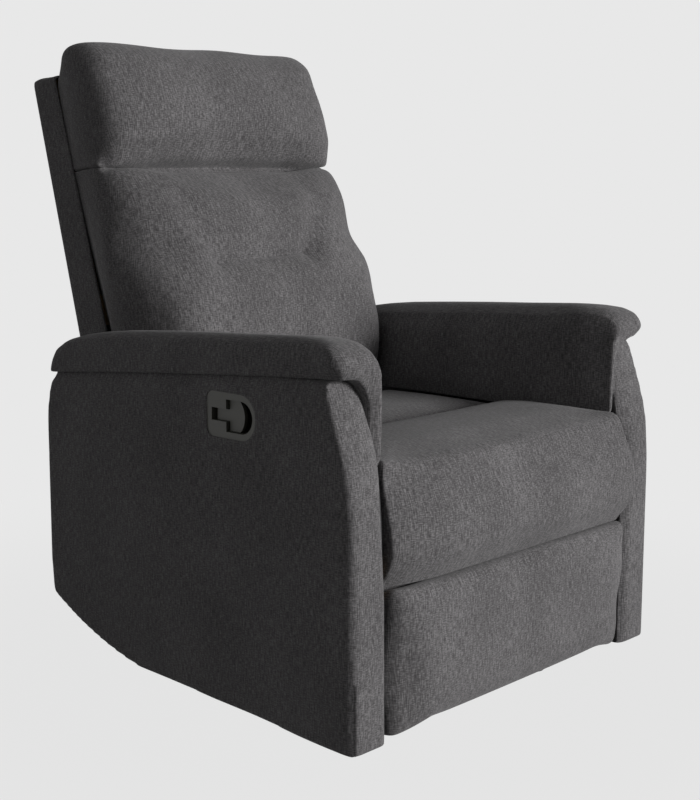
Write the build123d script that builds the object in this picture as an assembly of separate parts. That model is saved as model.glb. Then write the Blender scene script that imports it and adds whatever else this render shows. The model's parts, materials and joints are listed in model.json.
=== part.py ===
"""Manual recliner armchair: steel glide base, hollow arms, lever handle, folding footrest, reclining back.

Millimetres.  +Z is up, the chair faces -Y and +X is the sitter's left.  The origin lies on the floor
under the middle of the chair.  Pieces are drawn on the sitter's left and mirrored to the right.
"""
from build123d import *
import os
from math import atan2, cos, degrees, hypot, radians, sin

os.makedirs("parts", exist_ok=True)

# ---------------------------------------------------------------- driving dimensions: clearances
PIVOT_FIT = 0.05          # radial clearance of a pivot pin in its hole
OPEN_FIT = 0.35           # radial clearance where a closed linkage loop is opened
FACE_GAP = 0.3            # gap between neighbouring faces
BOLT_FIT = 0.25           # radial clearance of a bolt in its hole

# ---------------------------------------------------------------- driving dimensions: steel mechanism
PLATE_T = 3.0             # thickness of every stamped link and plate
LAYER_PITCH = 7.0         # distance between neighbouring link layers
LINK_R = 11.0             # end radius of the main links
SMALL_LINK_R = 10.0       # end radius of the footrest's crank end and lower link
PIN_R = 5.0               # shank radius of a pivot pin
PIN_HEAD_R = 8.0
PIN_HEAD_T = 1.7
SPACER_R = 7.5            # shoulder of a pin between two layers
BOLT_R = 3.0
BOLT_HEAD_R = 6.5
BOLT_HEAD_T = 2.6
BRACKET_HEAD_T = 1.6      # low head of the back bolts, inside the rear cover

# base frame
BASE_FRONT_Y = -334.0
BASE_REAR_Y = 198.0
BASE_FLANGE_W = 52.0      # turned-in foot of the base plate
TUBE_SIDE = 20.0          # square cross tube
TUBE_WALL = 1.5
FRONT_TUBE_Y = -308.0
REAR_TUBE_Y = 165.0
GLIDE_R = 16.0
GLIDE_H = 20.0
GLIDE_INSET = 33.0        # glide centre inboard of the base plate

# seat glide: two equal swing links per side carry the seat forward
SWING_LENGTH = 90.0
SWING_LEAN = 25.0         # degrees that the links lean back at rest, and forward at full recline
SEAT_FRONT_PIVOT = (-20.0, 190.0)
SEAT_REAR_PIVOT = (150.0, 190.0)

# back hinge and its driving link
BACK_PIVOT = (198.0, 390.0)
BACK_TILT = 14.8          # degrees from upright at rest
BACK_PIN_R = 6.0
BACK_ARM = 50.0           # crank below the back hinge
BACK_ARM_ANGLE = 18.0     # degrees behind straight down at rest
BACK_LINK_FOOT = (160.0, 144.5)
BACK_SLOT = 2.6           # length that the crank's slot adds for the pin
BRACKET_GAP = 5.0         # between the back bracket's inboard face and the inside of the rear cover

# footrest linkage: a double parallelogram
FOOT_FRONT_PIVOT = (-234.1, 283.3)
FOOT_REAR_PIVOT = (-197.1, 256.7)
FOOT_KNEE = (-97.6, 140.4)            # front link to upper link
FOOT_CRANK = (6.0, -32.0)             # knee to lower link, and upper to lower pivot of the bracket
FOOT_UPPER_END = (-342.4, 244.7)      # upper link to footrest bracket
DRIVE_TUBE_R = 11.0
DRIVE_TUBE_WALL = 2.0
SPRING_CRANK = (-14.0, 24.0)          # front pivot to the spring's hook on the front link
SPRING_ANCHOR = (-70.0, 300.0)
SPRING_R = 8.0
SPRING_WIRE = 2.4
SPRING_GAP = 6.0          # spring centre inboard of the lower link
SPRING_LEAD = 20.0        # straight hook between end loop and coil
SPRING_TURNS = 10
STUD_R = 3.0              # stud that a spring loop hangs on

# ---------------------------------------------------------------- driving dimensions: seat
SEAT_BOX_FRONT = -392.0
SEAT_BOX_REAR = 214.0
RAIL_T = 26.0             # thickness of the wooden cross rails
SIDE_RAIL_T = 25.4        # plywood side rail between seat plate and arm
BOLT_Z = 276.0            # height of the bolts through the side rails
FRONT_BOLT_Y = -318.0
PLATE_BOLT_YS = (-150.0, 40.0, 182.0)
RAIL_BOTTOM = 236.0
RAIL_TOP = 318.0
CROSS_RAIL_BOTTOM = 263.0
REAR_RAIL_Y = 106.0
SEAT_HALF = 289.0
SEAT_TOP = 450.0
SEAT_SEAM_Y = -165.0      # seam between the front roll and the seat panel
SEAT_FRONT = -456.0
SEAT_REAR = 95.0
ROLL_BOTTOM = 257.0
ROLL_RISE = 9.0           # top of the front roll above the seat panel
SPRING_ROWS = 5
SPRING_ROW_PITCH = 104.0
SINUOUS_WIRE = 4.0
SINUOUS_HALF = 23.0       # half width of a sinuous spring
SINUOUS_PITCH = 36.0      # length of half a wave
SINUOUS_LEAD = 17.0       # straight end that the clip holds
CLIP_W = 14.0
CLIP_L = 18.0
CLIP_T = 1.2

# ---------------------------------------------------------------- driving dimensions: arms
ARM_GAP = 9.0             # between the seat and the arm
ARM_WIDTH = 68.0
ARM_PANEL_T = 12.0        # plywood inner panel
ARM_COVER_T = 5.0         # padded cover over the arm frame
ARM_BOARD = 20.0          # width of the arm frame's boards
ARM_BOTTOM = 57.0
ARM_FRONT = -421.0
ARM_REAR = 281.0
ARM_TOP_FRONT = (-379.0, 575.0)
ARM_TOP_MID = (-40.0, 567.0)
ARM_TOP_REAR = (258.0, 530.0)
ARM_HEEL_START = (47.0, 72.0)         # the bottom edge turns up towards the rear from here
ARM_HEEL_MID = (172.0, 104.0)
ARM_HEEL_END = (275.0, 150.0)
ARM_POST_Y = -46.0        # middle post
PAD_APRON = 35.0          # how far the pad reaches inboard of the arm
PAD_OVERHANG = 14.0       # how far the pad stands out over the arm's outer face
PAD_TOP_FRONT = (-330.0, 638.0)
PAD_NOSE = (-431.0, 604.0)
PAD_TOP_REAR = (256.0, 572.0)
PAD_CROWN = ((-107.0, 631.0), (81.0, 618.0), (192.0, 598.0))
PAD_ROLL = (-400.0, 630.0)            # where the top turns down into the nose
PAD_REAR_LIP = (268.0, 552.0)
PAD_APRON_BOTTOM = 460.0

# ---------------------------------------------------------------- driving dimensions: lever
CUP_REAR_Y = -127.0
CUP_LENGTH = 113.0
CUP_HEIGHT = 75.0
CUP_Z = 507.0
CUP_CORNER = 17.0
CUP_RIM = 3.0             # rim standing proud of the arm
CUP_DEPTH = 24.0
CUP_WALL = 2.5
RECESS_FRONT_Y = -229.0
RECESS_LENGTH = 56.0
RECESS_HEIGHT = 48.0
SLOT_HEIGHT = 19.0
HINGE_Y = -150.0
HINGE_INSET = 8.0         # lever hinge inside the arm's outer face
LEVER_PIN_R = 2.0
LEVER_T = 6.0
PADDLE_LENGTH = 32.0
PADDLE_SWING_ROOM = 2.6   # room behind the paddle for its rear edge to swing through
PADDLE_HEIGHT = 46.4
PADDLE_ARC = 32.0         # radius of its pull edge
PADDLE_WALL = 4.0         # of the hollow behind the paddle
TAB_HEIGHT = 17.4

# ---------------------------------------------------------------- driving dimensions: back
BACK_SIDE_GAP = 8.0       # between the back cushion and the arm pad
SHELL_INSET = 5.0         # rear cover narrower than the cushions, each side
BACK_BOTTOM = -20.0       # heights and depths of the back are measured along its own tilt
BACK_TOP = 668.0
SHELL_REAR = 90.0
SHELL_FRONT = 34.0
SHELL_T = 5.0
SHELL_CORNER = 10.0
POST_W = 28.0
POST_T = 40.0
POST_CENTRE = 61.0        # how far the middle of a post lies behind the hinge
BACK_RAIL_H = 52.0
BRACKET_ELBOW = (46.0, 2.0)
BRACKET_TOP = 190.0
BRACKET_R = 14.0
CUSHION_BOTTOM = 31.0
HEAD_SEAM = 457.0
HEAD_TOP = 686.0
HEAD_FRONT = -130.0
LUMBAR_FRONT = -174.0
CUSHION_EDGE_R = 24.0     # rounding of the front edges of the back cushions
WEBBING_ROWS = 5
WEBBING_PITCH = 104.0
WEBBING_START = 92.0      # height of the lowest band
WEBBING_W = 50.0
WEBBING_T = 2.0

# ---------------------------------------------------------------- driving dimensions: footrest
FOOT_GAP = 7.0            # between the footrest and the arm
FOOT_TOP = 250.0
FOOT_BOTTOM = 57.0
FOOT_BOARD_REAR = -374.0
FOOT_BOARD_T = 12.0
FOOT_FRONT = -440.0
FOOT_MARGIN = 10.0        # pad beyond the edge of the board
FOOT_CORNER = 14.0
FOOT_EDGE_R = 18.0        # rounding of the front edges of the footrest pad

# ---------------------------------------------------------------- widths that follow from the seat's
ARM_INNER = SEAT_HALF + ARM_GAP
ARM_OUTER = ARM_INNER + ARM_WIDTH
PAD_INNER = ARM_INNER - PAD_APRON
PAD_OUTER = ARM_OUTER + PAD_OVERHANG
FOOT_HALF = ARM_INNER - FOOT_GAP
BACK_CUSHION_HALF = PAD_INNER - BACK_SIDE_GAP
BACK_HALF = BACK_CUSHION_HALF - SHELL_INSET
HINGE_X = ARM_OUTER - HINGE_INSET
# inboard face of the seat plate; the link layers step inboard from it
SEAT_PLATE_X = ARM_INNER - SIDE_RAIL_T - 2 * FACE_GAP - PLATE_T
SWING_X = SEAT_PLATE_X - LAYER_PITCH
BASE_X = SWING_X - LAYER_PITCH
REAR_LINK_X = BASE_X - LAYER_PITCH
UPPER_LINK_X = REAR_LINK_X - LAYER_PITCH
FRONT_LINK_X = UPPER_LINK_X - LAYER_PITCH
LOWER_LINK_X = FRONT_LINK_X - LAYER_PITCH
GLIDE_X = BASE_X - GLIDE_INSET
SPRING_X = LOWER_LINK_X - SPRING_GAP
BACK_BRACKET_X = BACK_HALF - SHELL_T - BRACKET_GAP
BACK_LINK_X = BACK_BRACKET_X - LAYER_PITCH


# ---------------------------------------------------------------- helpers
def add(p, q):
    return (p[0] + q[0], p[1] + q[1])


def sub(p, q):
    return (p[0] - q[0], p[1] - q[1])


def side_plane(x):
    """Plane whose local axes are +Y and +Z, at a given X."""
    return Plane.YZ.offset(x)


def rod_x(point, radius, x0, x1):
    """Cylinder along X through a (y, z) point."""
    return extrude(side_plane(x0) * Pos(*point) * Circle(radius), x1 - x0)


def rod_y(x, z, radius, y0, y1):
    """Cylinder along Y."""
    middle = (x, (y0 + y1) / 2, z)
    return Pos(*middle) * Rot(90, 0, 0) * Cylinder(radius, y1 - y0)


def rod_z(x, y, radius, z0, z1):
    return Pos(x, y, (z0 + z1) / 2) * Cylinder(radius, z1 - z0)


def block(x0, x1, y0, y1, z0, z1):
    return Pos((x0 + x1) / 2, (y0 + y1) / 2, (z0 + z1) / 2) * Box(x1 - x0, y1 - y0, z1 - z0)


def bar(p, q, radius):
    """Round-ended bar between two (y, z) points, as a sketch."""
    dy, dz = sub(q, p)
    middle = ((p[0] + q[0]) / 2, (p[1] + q[1]) / 2)
    return Pos(*middle) * Rot(0, 0, degrees(atan2(dz, dy))) * SlotCenterToCenter(hypot(dy, dz), 2 * radius)


def link(points, radius, x, holes):
    """Stamped link through a row of (y, z) points.  holes maps a point to its hole radius."""
    outline = bar(points[0], points[1], radius)
    for p, q in zip(points[1:], points[2:]):
        outline += bar(p, q, radius)
    for point, hole in holes.items():
        outline -= Pos(*point) * Circle(hole)
    return extrude(side_plane(x) * outline, PLATE_T)


def pivot_pin(point, x_in, x_out, radius=PIN_R):
    """Shoulder rivet through the two layers whose inboard faces are x_in and x_out."""
    shank = rod_x(point, radius, x_in - PIN_HEAD_T, x_out + PLATE_T + PIN_HEAD_T)
    inner_head = rod_x(point, PIN_HEAD_R, x_in - PIN_HEAD_T, x_in - FACE_GAP)
    outer_head = rod_x(point, PIN_HEAD_R, x_out + PLATE_T + FACE_GAP, x_out + PLATE_T + PIN_HEAD_T)
    shoulder = rod_x(point, SPACER_R, x_in + PLATE_T + FACE_GAP, x_out - FACE_GAP)
    return shank + inner_head + outer_head + shoulder


def both(part):
    """The left piece and its mirror image on the right."""
    return [part, mirror(part, about=Plane.YZ)]


def save(name, *pieces):
    solids = []
    for piece in pieces:
        solids.extend(piece.solids())
    shape = solids[0] if len(solids) == 1 else Compound(children=solids)
    export_step(shape, f"parts/{name}.step")


def save_sides(name, part):
    left, right = both(part)
    save(f"{name}_left", left)
    save(f"{name}_right", right)


# ---------------------------------------------------------------- derived places
swing_reach = (-SWING_LENGTH * sin(radians(SWING_LEAN)), -SWING_LENGTH * cos(radians(SWING_LEAN)))
base_front_pivot = add(SEAT_FRONT_PIVOT, swing_reach)
base_rear_pivot = add(SEAT_REAR_PIVOT, swing_reach)
back_crank_pin = add(BACK_PIVOT, (BACK_ARM * sin(radians(BACK_ARM_ANGLE)),
                                  -BACK_ARM * cos(radians(BACK_ARM_ANGLE))))
foot_rear_knee = add(FOOT_KNEE, sub(FOOT_REAR_PIVOT, FOOT_FRONT_PIVOT))
foot_lower_knee = add(FOOT_KNEE, FOOT_CRANK)
foot_lower_end = add(FOOT_UPPER_END, FOOT_CRANK)
spring_hook = add(FOOT_FRONT_PIVOT, SPRING_CRANK)
back_place = Location((0, *BACK_PIVOT), (-BACK_TILT, 0, 0))
post_outer = BACK_BRACKET_X - FACE_GAP
post_front = POST_CENTRE - POST_T / 2
post_bottom = BACK_BOTTOM + SHELL_T + 5
post_top = BACK_TOP - SHELL_T - 5
bracket_bolts = (BRACKET_TOP - 110, BRACKET_TOP - 10)

pin_hole = PIN_R + PIVOT_FIT
loose_hole = PIN_R + OPEN_FIT


# ---------------------------------------------------------------- base
def base_plate():
    """Stamped side plate with a turned-in foot and two humps that carry the ground pivots."""
    outline = Polygon((BASE_FRONT_Y, GLIDE_H), (BASE_REAR_Y, GLIDE_H), (BASE_REAR_Y, GLIDE_H + 26),
                      (BACK_LINK_FOOT[0] + 34, GLIDE_H + 40),
                      (BACK_LINK_FOOT[0] + 14, BACK_LINK_FOOT[1] + 14),
                      (BACK_LINK_FOOT[0] - 12, BACK_LINK_FOOT[1] + 14),
                      (base_rear_pivot[0] - 18, base_rear_pivot[1] + 12),
                      (base_rear_pivot[0] - 44, GLIDE_H + 44),
                      (base_front_pivot[0] + 46, GLIDE_H + 44),
                      (base_front_pivot[0] + 18, base_front_pivot[1] + 15),
                      (base_front_pivot[0] - 18, base_front_pivot[1] + 15),
                      (base_front_pivot[0] - 60, GLIDE_H + 36), (BASE_FRONT_Y, GLIDE_H + 30), align=None)
    outline = fillet(outline.vertices().sort_by(Axis.Y)[2:], 7)
    for point in (base_front_pivot, base_rear_pivot, BACK_LINK_FOOT):
        outline -= Pos(*point) * Circle(pin_hole)
    plate = extrude(side_plane(BASE_X) * outline, PLATE_T)
    foot = block(BASE_X - BASE_FLANGE_W, BASE_X, BASE_FRONT_Y, BASE_REAR_Y, GLIDE_H, GLIDE_H + PLATE_T)
    for y in (FRONT_TUBE_Y, REAR_TUBE_Y):
        foot -= rod_z(GLIDE_X, y, BOLT_R + BOLT_FIT, GLIDE_H - 1, GLIDE_H + PLATE_T + 1)
    return plate + foot


def cross_tube(y):
    """Square tube between the base plates, standing on their feet."""
    z0 = GLIDE_H + PLATE_T + FACE_GAP
    half = BASE_X - FACE_GAP
    tube = block(-half, half, y - TUBE_SIDE / 2, y + TUBE_SIDE / 2, z0, z0 + TUBE_SIDE)
    bore = TUBE_SIDE / 2 - TUBE_WALL
    tube -= block(-half - 1, half + 1, y - bore, y + bore, z0 + TUBE_WALL, z0 + TUBE_SIDE - TUBE_WALL)
    for x in (-GLIDE_X, GLIDE_X):
        tube -= rod_z(x, y, BOLT_R + BOLT_FIT, z0 - 1, z0 + TUBE_SIDE + 1)
    return tube


def glide(y):
    """Moulded glide with a chamfered sole and a socket for its stud."""
    body = rod_z(GLIDE_X, y, GLIDE_R, 0, GLIDE_H - FACE_GAP)
    body = chamfer(body.edges().group_by(Axis.Z)[0], 3)
    return body - rod_z(GLIDE_X, y, BOLT_R + PIVOT_FIT, GLIDE_H - 12, GLIDE_H)


def glide_stud(y):
    """Stud from the glide's socket up through the foot and the tube, with its nut."""
    top = GLIDE_H + PLATE_T + FACE_GAP + TUBE_SIDE
    stud = rod_z(GLIDE_X, y, BOLT_R, GLIDE_H - 11, top + 5)
    nut = Pos(GLIDE_X, y, top + FACE_GAP) * extrude(RegularPolygon(5.5, 6), 4)
    return stud + nut


save_sides("base_plate", base_plate())
save("base_cross_tubes", *[cross_tube(y) for y in (FRONT_TUBE_Y, REAR_TUBE_Y)])
save("base_glides", *[piece for y in (FRONT_TUBE_Y, REAR_TUBE_Y) for piece in both(glide(y))])
save("base_studs", *[piece for y in (FRONT_TUBE_Y, REAR_TUBE_Y) for piece in both(glide_stud(y))])
base_pins = [pivot_pin(base_front_pivot, BASE_X, SWING_X), pivot_pin(base_rear_pivot, BASE_X, SWING_X),
             pivot_pin(BACK_LINK_FOOT, BACK_LINK_X, BASE_X)]
save("base_pivot_pins", *[piece for pin in base_pins for piece in both(pin)])


# ---------------------------------------------------------------- seat glide links
save("front_swing_links", *both(link([base_front_pivot, SEAT_FRONT_PIVOT], LINK_R, SWING_X,
                                     {base_front_pivot: pin_hole, SEAT_FRONT_PIVOT: pin_hole})))
save("rear_swing_links", *both(link([base_rear_pivot, SEAT_REAR_PIVOT], LINK_R, SWING_X,
                                    {base_rear_pivot: pin_hole, SEAT_REAR_PIVOT: loose_hole})))
save("back_links", *both(link([BACK_LINK_FOOT, back_crank_pin], LINK_R, BACK_LINK_X,
                              {BACK_LINK_FOOT: pin_hole, back_crank_pin: pin_hole})))


# ---------------------------------------------------------------- footrest linkage
def front_foot_link():
    """Bell-crank link from the drive tube to the knee, with a horn for the spring."""
    points = [FOOT_FRONT_PIVOT, FOOT_KNEE, foot_lower_knee]
    plate = link(points, SMALL_LINK_R, FRONT_LINK_X,
                 {FOOT_FRONT_PIVOT: pin_hole, FOOT_KNEE: pin_hole, foot_lower_knee: pin_hole})
    horn = bar(FOOT_FRONT_PIVOT, spring_hook, 7) - Pos(*FOOT_FRONT_PIVOT) * Circle(pin_hole)
    horn -= Pos(*spring_hook) * Circle(STUD_R + PIVOT_FIT)
    return plate + extrude(side_plane(FRONT_LINK_X) * horn, PLATE_T)


def drive_tube():
    """Round torque tube that joins the two front links."""
    reach = FRONT_LINK_X - FACE_GAP
    return rod_x(FOOT_FRONT_PIVOT, DRIVE_TUBE_R, -reach, reach) - rod_x(
        FOOT_FRONT_PIVOT, DRIVE_TUBE_R - DRIVE_TUBE_WALL, -reach - 1, reach + 1)


def foot_bracket():
    """Pressed angle: a web in the link layer and a flange behind the footrest board."""
    flange_front = FOOT_BOARD_REAR + FACE_GAP
    web = bar(FOOT_UPPER_END, foot_lower_end, LINK_R) + make_face(Polyline(
        (flange_front, FOOT_TOP - 8), (FOOT_UPPER_END[0], FOOT_UPPER_END[1] + LINK_R - 2),
        (foot_lower_end[0] + 4, foot_lower_end[1] - LINK_R), (flange_front + PLATE_T, FOOT_BOTTOM + 50),
        (flange_front, FOOT_BOTTOM + 50), close=True))
    web -= Pos(*FOOT_UPPER_END) * Circle(pin_hole)
    web -= Pos(*foot_lower_end) * Circle(loose_hole)
    bracket = extrude(side_plane(FRONT_LINK_X) * web, PLATE_T)
    bracket += block(FRONT_LINK_X - 32, FRONT_LINK_X, flange_front, flange_front + PLATE_T,
                     FOOT_BOTTOM + 50, FOOT_TOP - 8)
    for z in foot_bolt_heights:
        bracket -= rod_y(foot_bolt_x, z, BOLT_R + BOLT_FIT, flange_front - 1, flange_front + PLATE_T + 1)
    return bracket


foot_bolt_heights = (FOOT_BOTTOM + 68, FOOT_TOP - 26)
foot_bolt_x = FRONT_LINK_X - 19


def foot_bolt(z):
    """Button-head bolt through the bracket's flange into the board."""
    face = FOOT_BOARD_REAR + FACE_GAP + PLATE_T + FACE_GAP
    return rod_y(foot_bolt_x, z, BOLT_R, FOOT_BOARD_REAR - 8, face + 1) + rod_y(
        foot_bolt_x, z, BOLT_HEAD_R, face, face + BOLT_HEAD_T)


def footrest_board():
    """Plywood board, drilled for the bracket bolts."""
    half = FOOT_HALF - FOOT_MARGIN - FACE_GAP
    board = block(-half, half, FOOT_BOARD_REAR - FOOT_BOARD_T, FOOT_BOARD_REAR,
                  FOOT_BOTTOM + FOOT_MARGIN + FACE_GAP, FOOT_TOP - FOOT_MARGIN - FACE_GAP)
    for x in (-foot_bolt_x, foot_bolt_x):
        for z in foot_bolt_heights:
            board -= rod_y(x, z, BOLT_R + BOLT_FIT, FOOT_BOARD_REAR - 9, FOOT_BOARD_REAR + 1)
    return board


def footrest_pad():
    """Upholstered pad wrapped round the front and edges of the board."""
    face = Pos(0, (FOOT_TOP + FOOT_BOTTOM) / 2) * RectangleRounded(
        2 * FOOT_HALF, FOOT_TOP - FOOT_BOTTOM, FOOT_CORNER)
    front = extrude(Plane.XZ.offset(-FOOT_BOARD_REAR) * face, FOOT_BOARD_REAR - FOOT_FRONT)
    front = fillet(front.edges().group_by(Axis.Y)[0], FOOT_EDGE_R)
    half = FOOT_HALF - FOOT_MARGIN
    pocket = block(-half, half, FOOT_BOARD_REAR - FOOT_BOARD_T - FACE_GAP, FOOT_BOARD_REAR + 1,
                   FOOT_BOTTOM + FOOT_MARGIN, FOOT_TOP - FOOT_MARGIN)
    return front - pocket


def extension_spring():
    """Close-wound extension spring, its end loops round the studs of the front link and the seat plate."""
    dy, dz = sub(SPRING_ANCHOR, spring_hook)
    length = hypot(dy, dz)
    pitch = (length - 2 * SPRING_LEAD) / SPRING_TURNS
    profile = [(0, SPRING_LEAD)]
    for turn in range(SPRING_TURNS):
        profile += [(SPRING_R - SPRING_WIRE / 2, SPRING_LEAD + turn * pitch),
                    (SPRING_R, SPRING_LEAD + (turn + 0.5) * pitch)]
    profile += [(SPRING_R - SPRING_WIRE / 2, length - SPRING_LEAD), (0, length - SPRING_LEAD)]
    spring = revolve(make_face(Polyline(*profile, close=True)), Axis.Y)
    loop_inner = STUD_R + FACE_GAP
    loop_outer = loop_inner + SPRING_WIRE
    for end, coil_end in ((0, SPRING_LEAD), (length, length - SPRING_LEAD)):
        loop = Circle(loop_outer) - Circle(loop_inner)
        spring += extrude(side_plane(-SPRING_WIRE / 2) * Pos(end, 0) * loop, SPRING_WIRE)
        lead = coil_end - end - (loop_outer - 1 if coil_end > end else 1 - loop_outer)
        spring += Pos(0, coil_end - lead / 2, 0) * Rot(90, 0, 0) * Cylinder(SPRING_WIRE / 2 - 0.2, abs(lead))
    return Pos(SPRING_X, *spring_hook) * Rot(degrees(atan2(dz, dy)), 0, 0) * spring


def spring_stud(point, x_plate):
    """Stud that a spring loop hangs on, riveted into a plate further out."""
    stud = rod_x(point, STUD_R, SPRING_X - 4, x_plate + PLATE_T + 1)
    stud += rod_x(point, STUD_R + 1.6, SPRING_X - 4, SPRING_X - 4 + 1.5)
    return stud + rod_x(point, STUD_R + 1.6, SPRING_X + 3, x_plate - FACE_GAP)


save_sides("front_foot_link", front_foot_link())
save("drive_tube", drive_tube())
save("rear_foot_links", *both(link([FOOT_REAR_PIVOT, foot_rear_knee], LINK_R, REAR_LINK_X,
                                   {FOOT_REAR_PIVOT: pin_hole, foot_rear_knee: loose_hole})))
upper_points = [foot_rear_knee, FOOT_KNEE, FOOT_UPPER_END]
save("upper_foot_links", *both(link(upper_points, LINK_R, UPPER_LINK_X,
                                    {point: pin_hole for point in upper_points})))
save("lower_foot_links", *both(link([foot_lower_knee, foot_lower_end], SMALL_LINK_R, LOWER_LINK_X,
                                    {foot_lower_knee: pin_hole, foot_lower_end: pin_hole})))
save("foot_crank_pins", *both(pivot_pin(FOOT_KNEE, FRONT_LINK_X, UPPER_LINK_X)),
     *both(pivot_pin(foot_lower_knee, LOWER_LINK_X, FRONT_LINK_X)),
     *both(spring_stud(spring_hook, FRONT_LINK_X)))
save("foot_upper_pins", *both(pivot_pin(foot_rear_knee, UPPER_LINK_X, REAR_LINK_X)))
save("foot_brackets", *both(foot_bracket()))
save("foot_bracket_pins", *both(pivot_pin(FOOT_UPPER_END, FRONT_LINK_X, UPPER_LINK_X)))
save("foot_lower_pins", *both(pivot_pin(foot_lower_end, LOWER_LINK_X, FRONT_LINK_X)))
save("footrest_board", footrest_board())
save("footrest_pad", footrest_pad())
save("footrest_bolts", *[piece for z in foot_bolt_heights for piece in both(foot_bolt(z))])
save("footrest_springs", *both(extension_spring()))


# ---------------------------------------------------------------- seat frame
def seat_plate():
    """Stamped plate that carries the seat on the swing links and holds the footrest and back pivots."""
    rear = BACK_PIVOT[0]
    outline = Polygon((FOOT_FRONT_PIVOT[0] - 20, RAIL_TOP - 8),
                      (FOOT_FRONT_PIVOT[0] - 20, FOOT_FRONT_PIVOT[1] - 18),
                      (FOOT_REAR_PIVOT[0] - 10, FOOT_REAR_PIVOT[1] - 22),
                      (SEAT_FRONT_PIVOT[0] - 24, SEAT_FRONT_PIVOT[1] - 20),
                      (SEAT_REAR_PIVOT[0] + 12, SEAT_REAR_PIVOT[1] - 20),
                      (SEAT_REAR_PIVOT[0] + 26, SEAT_REAR_PIVOT[1] + 6), (rear + 17, BACK_PIVOT[1] - 10),
                      (rear + 17, BACK_PIVOT[1] + 17), (rear - 17, BACK_PIVOT[1] + 17),
                      (rear - 26, BACK_PIVOT[1] - 30), (SEAT_REAR_PIVOT[0] - 6, RAIL_TOP - 8), align=None)
    outline = fillet(outline.vertices(), 8)
    for point in (FOOT_FRONT_PIVOT, FOOT_REAR_PIVOT, SEAT_FRONT_PIVOT, SEAT_REAR_PIVOT):
        outline -= Pos(*point) * Circle(pin_hole)
    outline -= Pos(*BACK_PIVOT) * Circle(BACK_PIN_R + PIVOT_FIT)
    outline -= Pos(*SPRING_ANCHOR) * Circle(STUD_R + PIVOT_FIT)
    for point in plate_bolts:
        outline -= Pos(*point) * Circle(BOLT_R + BOLT_FIT)
    return extrude(side_plane(SEAT_PLATE_X) * outline, PLATE_T)


def side_rail():
    """Plywood side rail between the seat plate and the arm, relieved over the rivet heads."""
    rail = block(rail_inner, ARM_INNER - FACE_GAP, SEAT_BOX_FRONT + RAIL_T + FACE_GAP, SEAT_BOX_REAR,
                 RAIL_BOTTOM, RAIL_TOP)
    for point in (FOOT_FRONT_PIVOT, FOOT_REAR_PIVOT, SPRING_ANCHOR):
        rail -= rod_x(point, PIN_HEAD_R + 1, rail_inner - 1, rail_inner + PIN_HEAD_T + 1)
    for point in rail_bolts:
        rail -= rod_x(point, BOLT_R + BOLT_FIT, rail_inner - 1, ARM_INNER + 1)
    return rail


def rail_bolt(point):
    """Carriage bolt through plate, rail and arm panel, with a flanged nut inside the arm."""
    inboard = SEAT_PLATE_X - FACE_GAP if point in plate_bolts else rail_inner - FACE_GAP
    nut_face = ARM_INNER + ARM_PANEL_T + FACE_GAP
    bolt = rod_x(point, BOLT_R, inboard - 1, nut_face + 7)
    bolt += rod_x(point, BOLT_HEAD_R, inboard - BOLT_HEAD_T, inboard)
    nut = extrude(side_plane(nut_face) * Pos(*point) * RegularPolygon(5.5, 6), 5)
    return bolt + nut


def seat_cross_rail(y, half):
    return block(-half, half, y, y + RAIL_T, CROSS_RAIL_BOTTOM, RAIL_TOP)


def sinuous_wire(length):
    """Flat outline of a sinuous spring of the given length, running along local X from 0."""
    span = length - 2 * SINUOUS_LEAD
    waves = round(span / SINUOUS_PITCH)
    step = span / waves
    points = [(0, 0), (SINUOUS_LEAD, 0)]
    for wave in range(waves):
        side = SINUOUS_HALF if wave % 2 else -SINUOUS_HALF
        points += [(SINUOUS_LEAD + step * wave, side), (SINUOUS_LEAD + step * (wave + 1), side)]
    points += [(length - SINUOUS_LEAD, 0), (length, 0)]
    bend = step / 2 - 0.5
    radii = [SINUOUS_WIRE] + [bend] * (len(points) - 4) + [SINUOUS_WIRE]
    return trace(FilletPolyline(*points, radius=radii), SINUOUS_WIRE)


def seat_spring(x):
    """Sinuous spring from the front cross rail to the rear one."""
    start = SEAT_BOX_FRONT + RAIL_T / 2
    end = REAR_RAIL_Y + RAIL_T / 2
    wire = Pos(x, start, RAIL_TOP + FACE_GAP) * Rot(0, 0, 90) * sinuous_wire(end - start)
    return extrude(wire, SINUOUS_WIRE)


def spring_clip(x, y, z):
    """Sheet-metal clip that holds a spring's end down on its rail."""
    bridge = SINUOUS_WIRE + FACE_GAP
    tunnel = SINUOUS_WIRE / 2 + FACE_GAP
    clip = block(x - CLIP_W / 2, x + CLIP_W / 2, y - CLIP_L / 2, y + CLIP_L / 2, z + FACE_GAP / 3,
                 z + FACE_GAP + bridge + CLIP_T)
    return clip - block(x - tunnel, x + tunnel, y - CLIP_L, y + CLIP_L, z, z + FACE_GAP + bridge)


def seat_panel():
    """Foam seat behind the seam, under the sitter."""
    panel = block(-SEAT_HALF, SEAT_HALF, SEAT_SEAM_Y + FACE_GAP, SEAT_REAR, seat_deck, SEAT_TOP)
    panel = fillet(panel.edges().filter_by(Axis.Y).group_by(Axis.Z)[-1], 24)
    top_rear = panel.edges().filter_by(Axis.X).group_by(Axis.Z)[-1].sort_by(Axis.Y)[-1:]
    return fillet(top_rear, 24)


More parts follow.
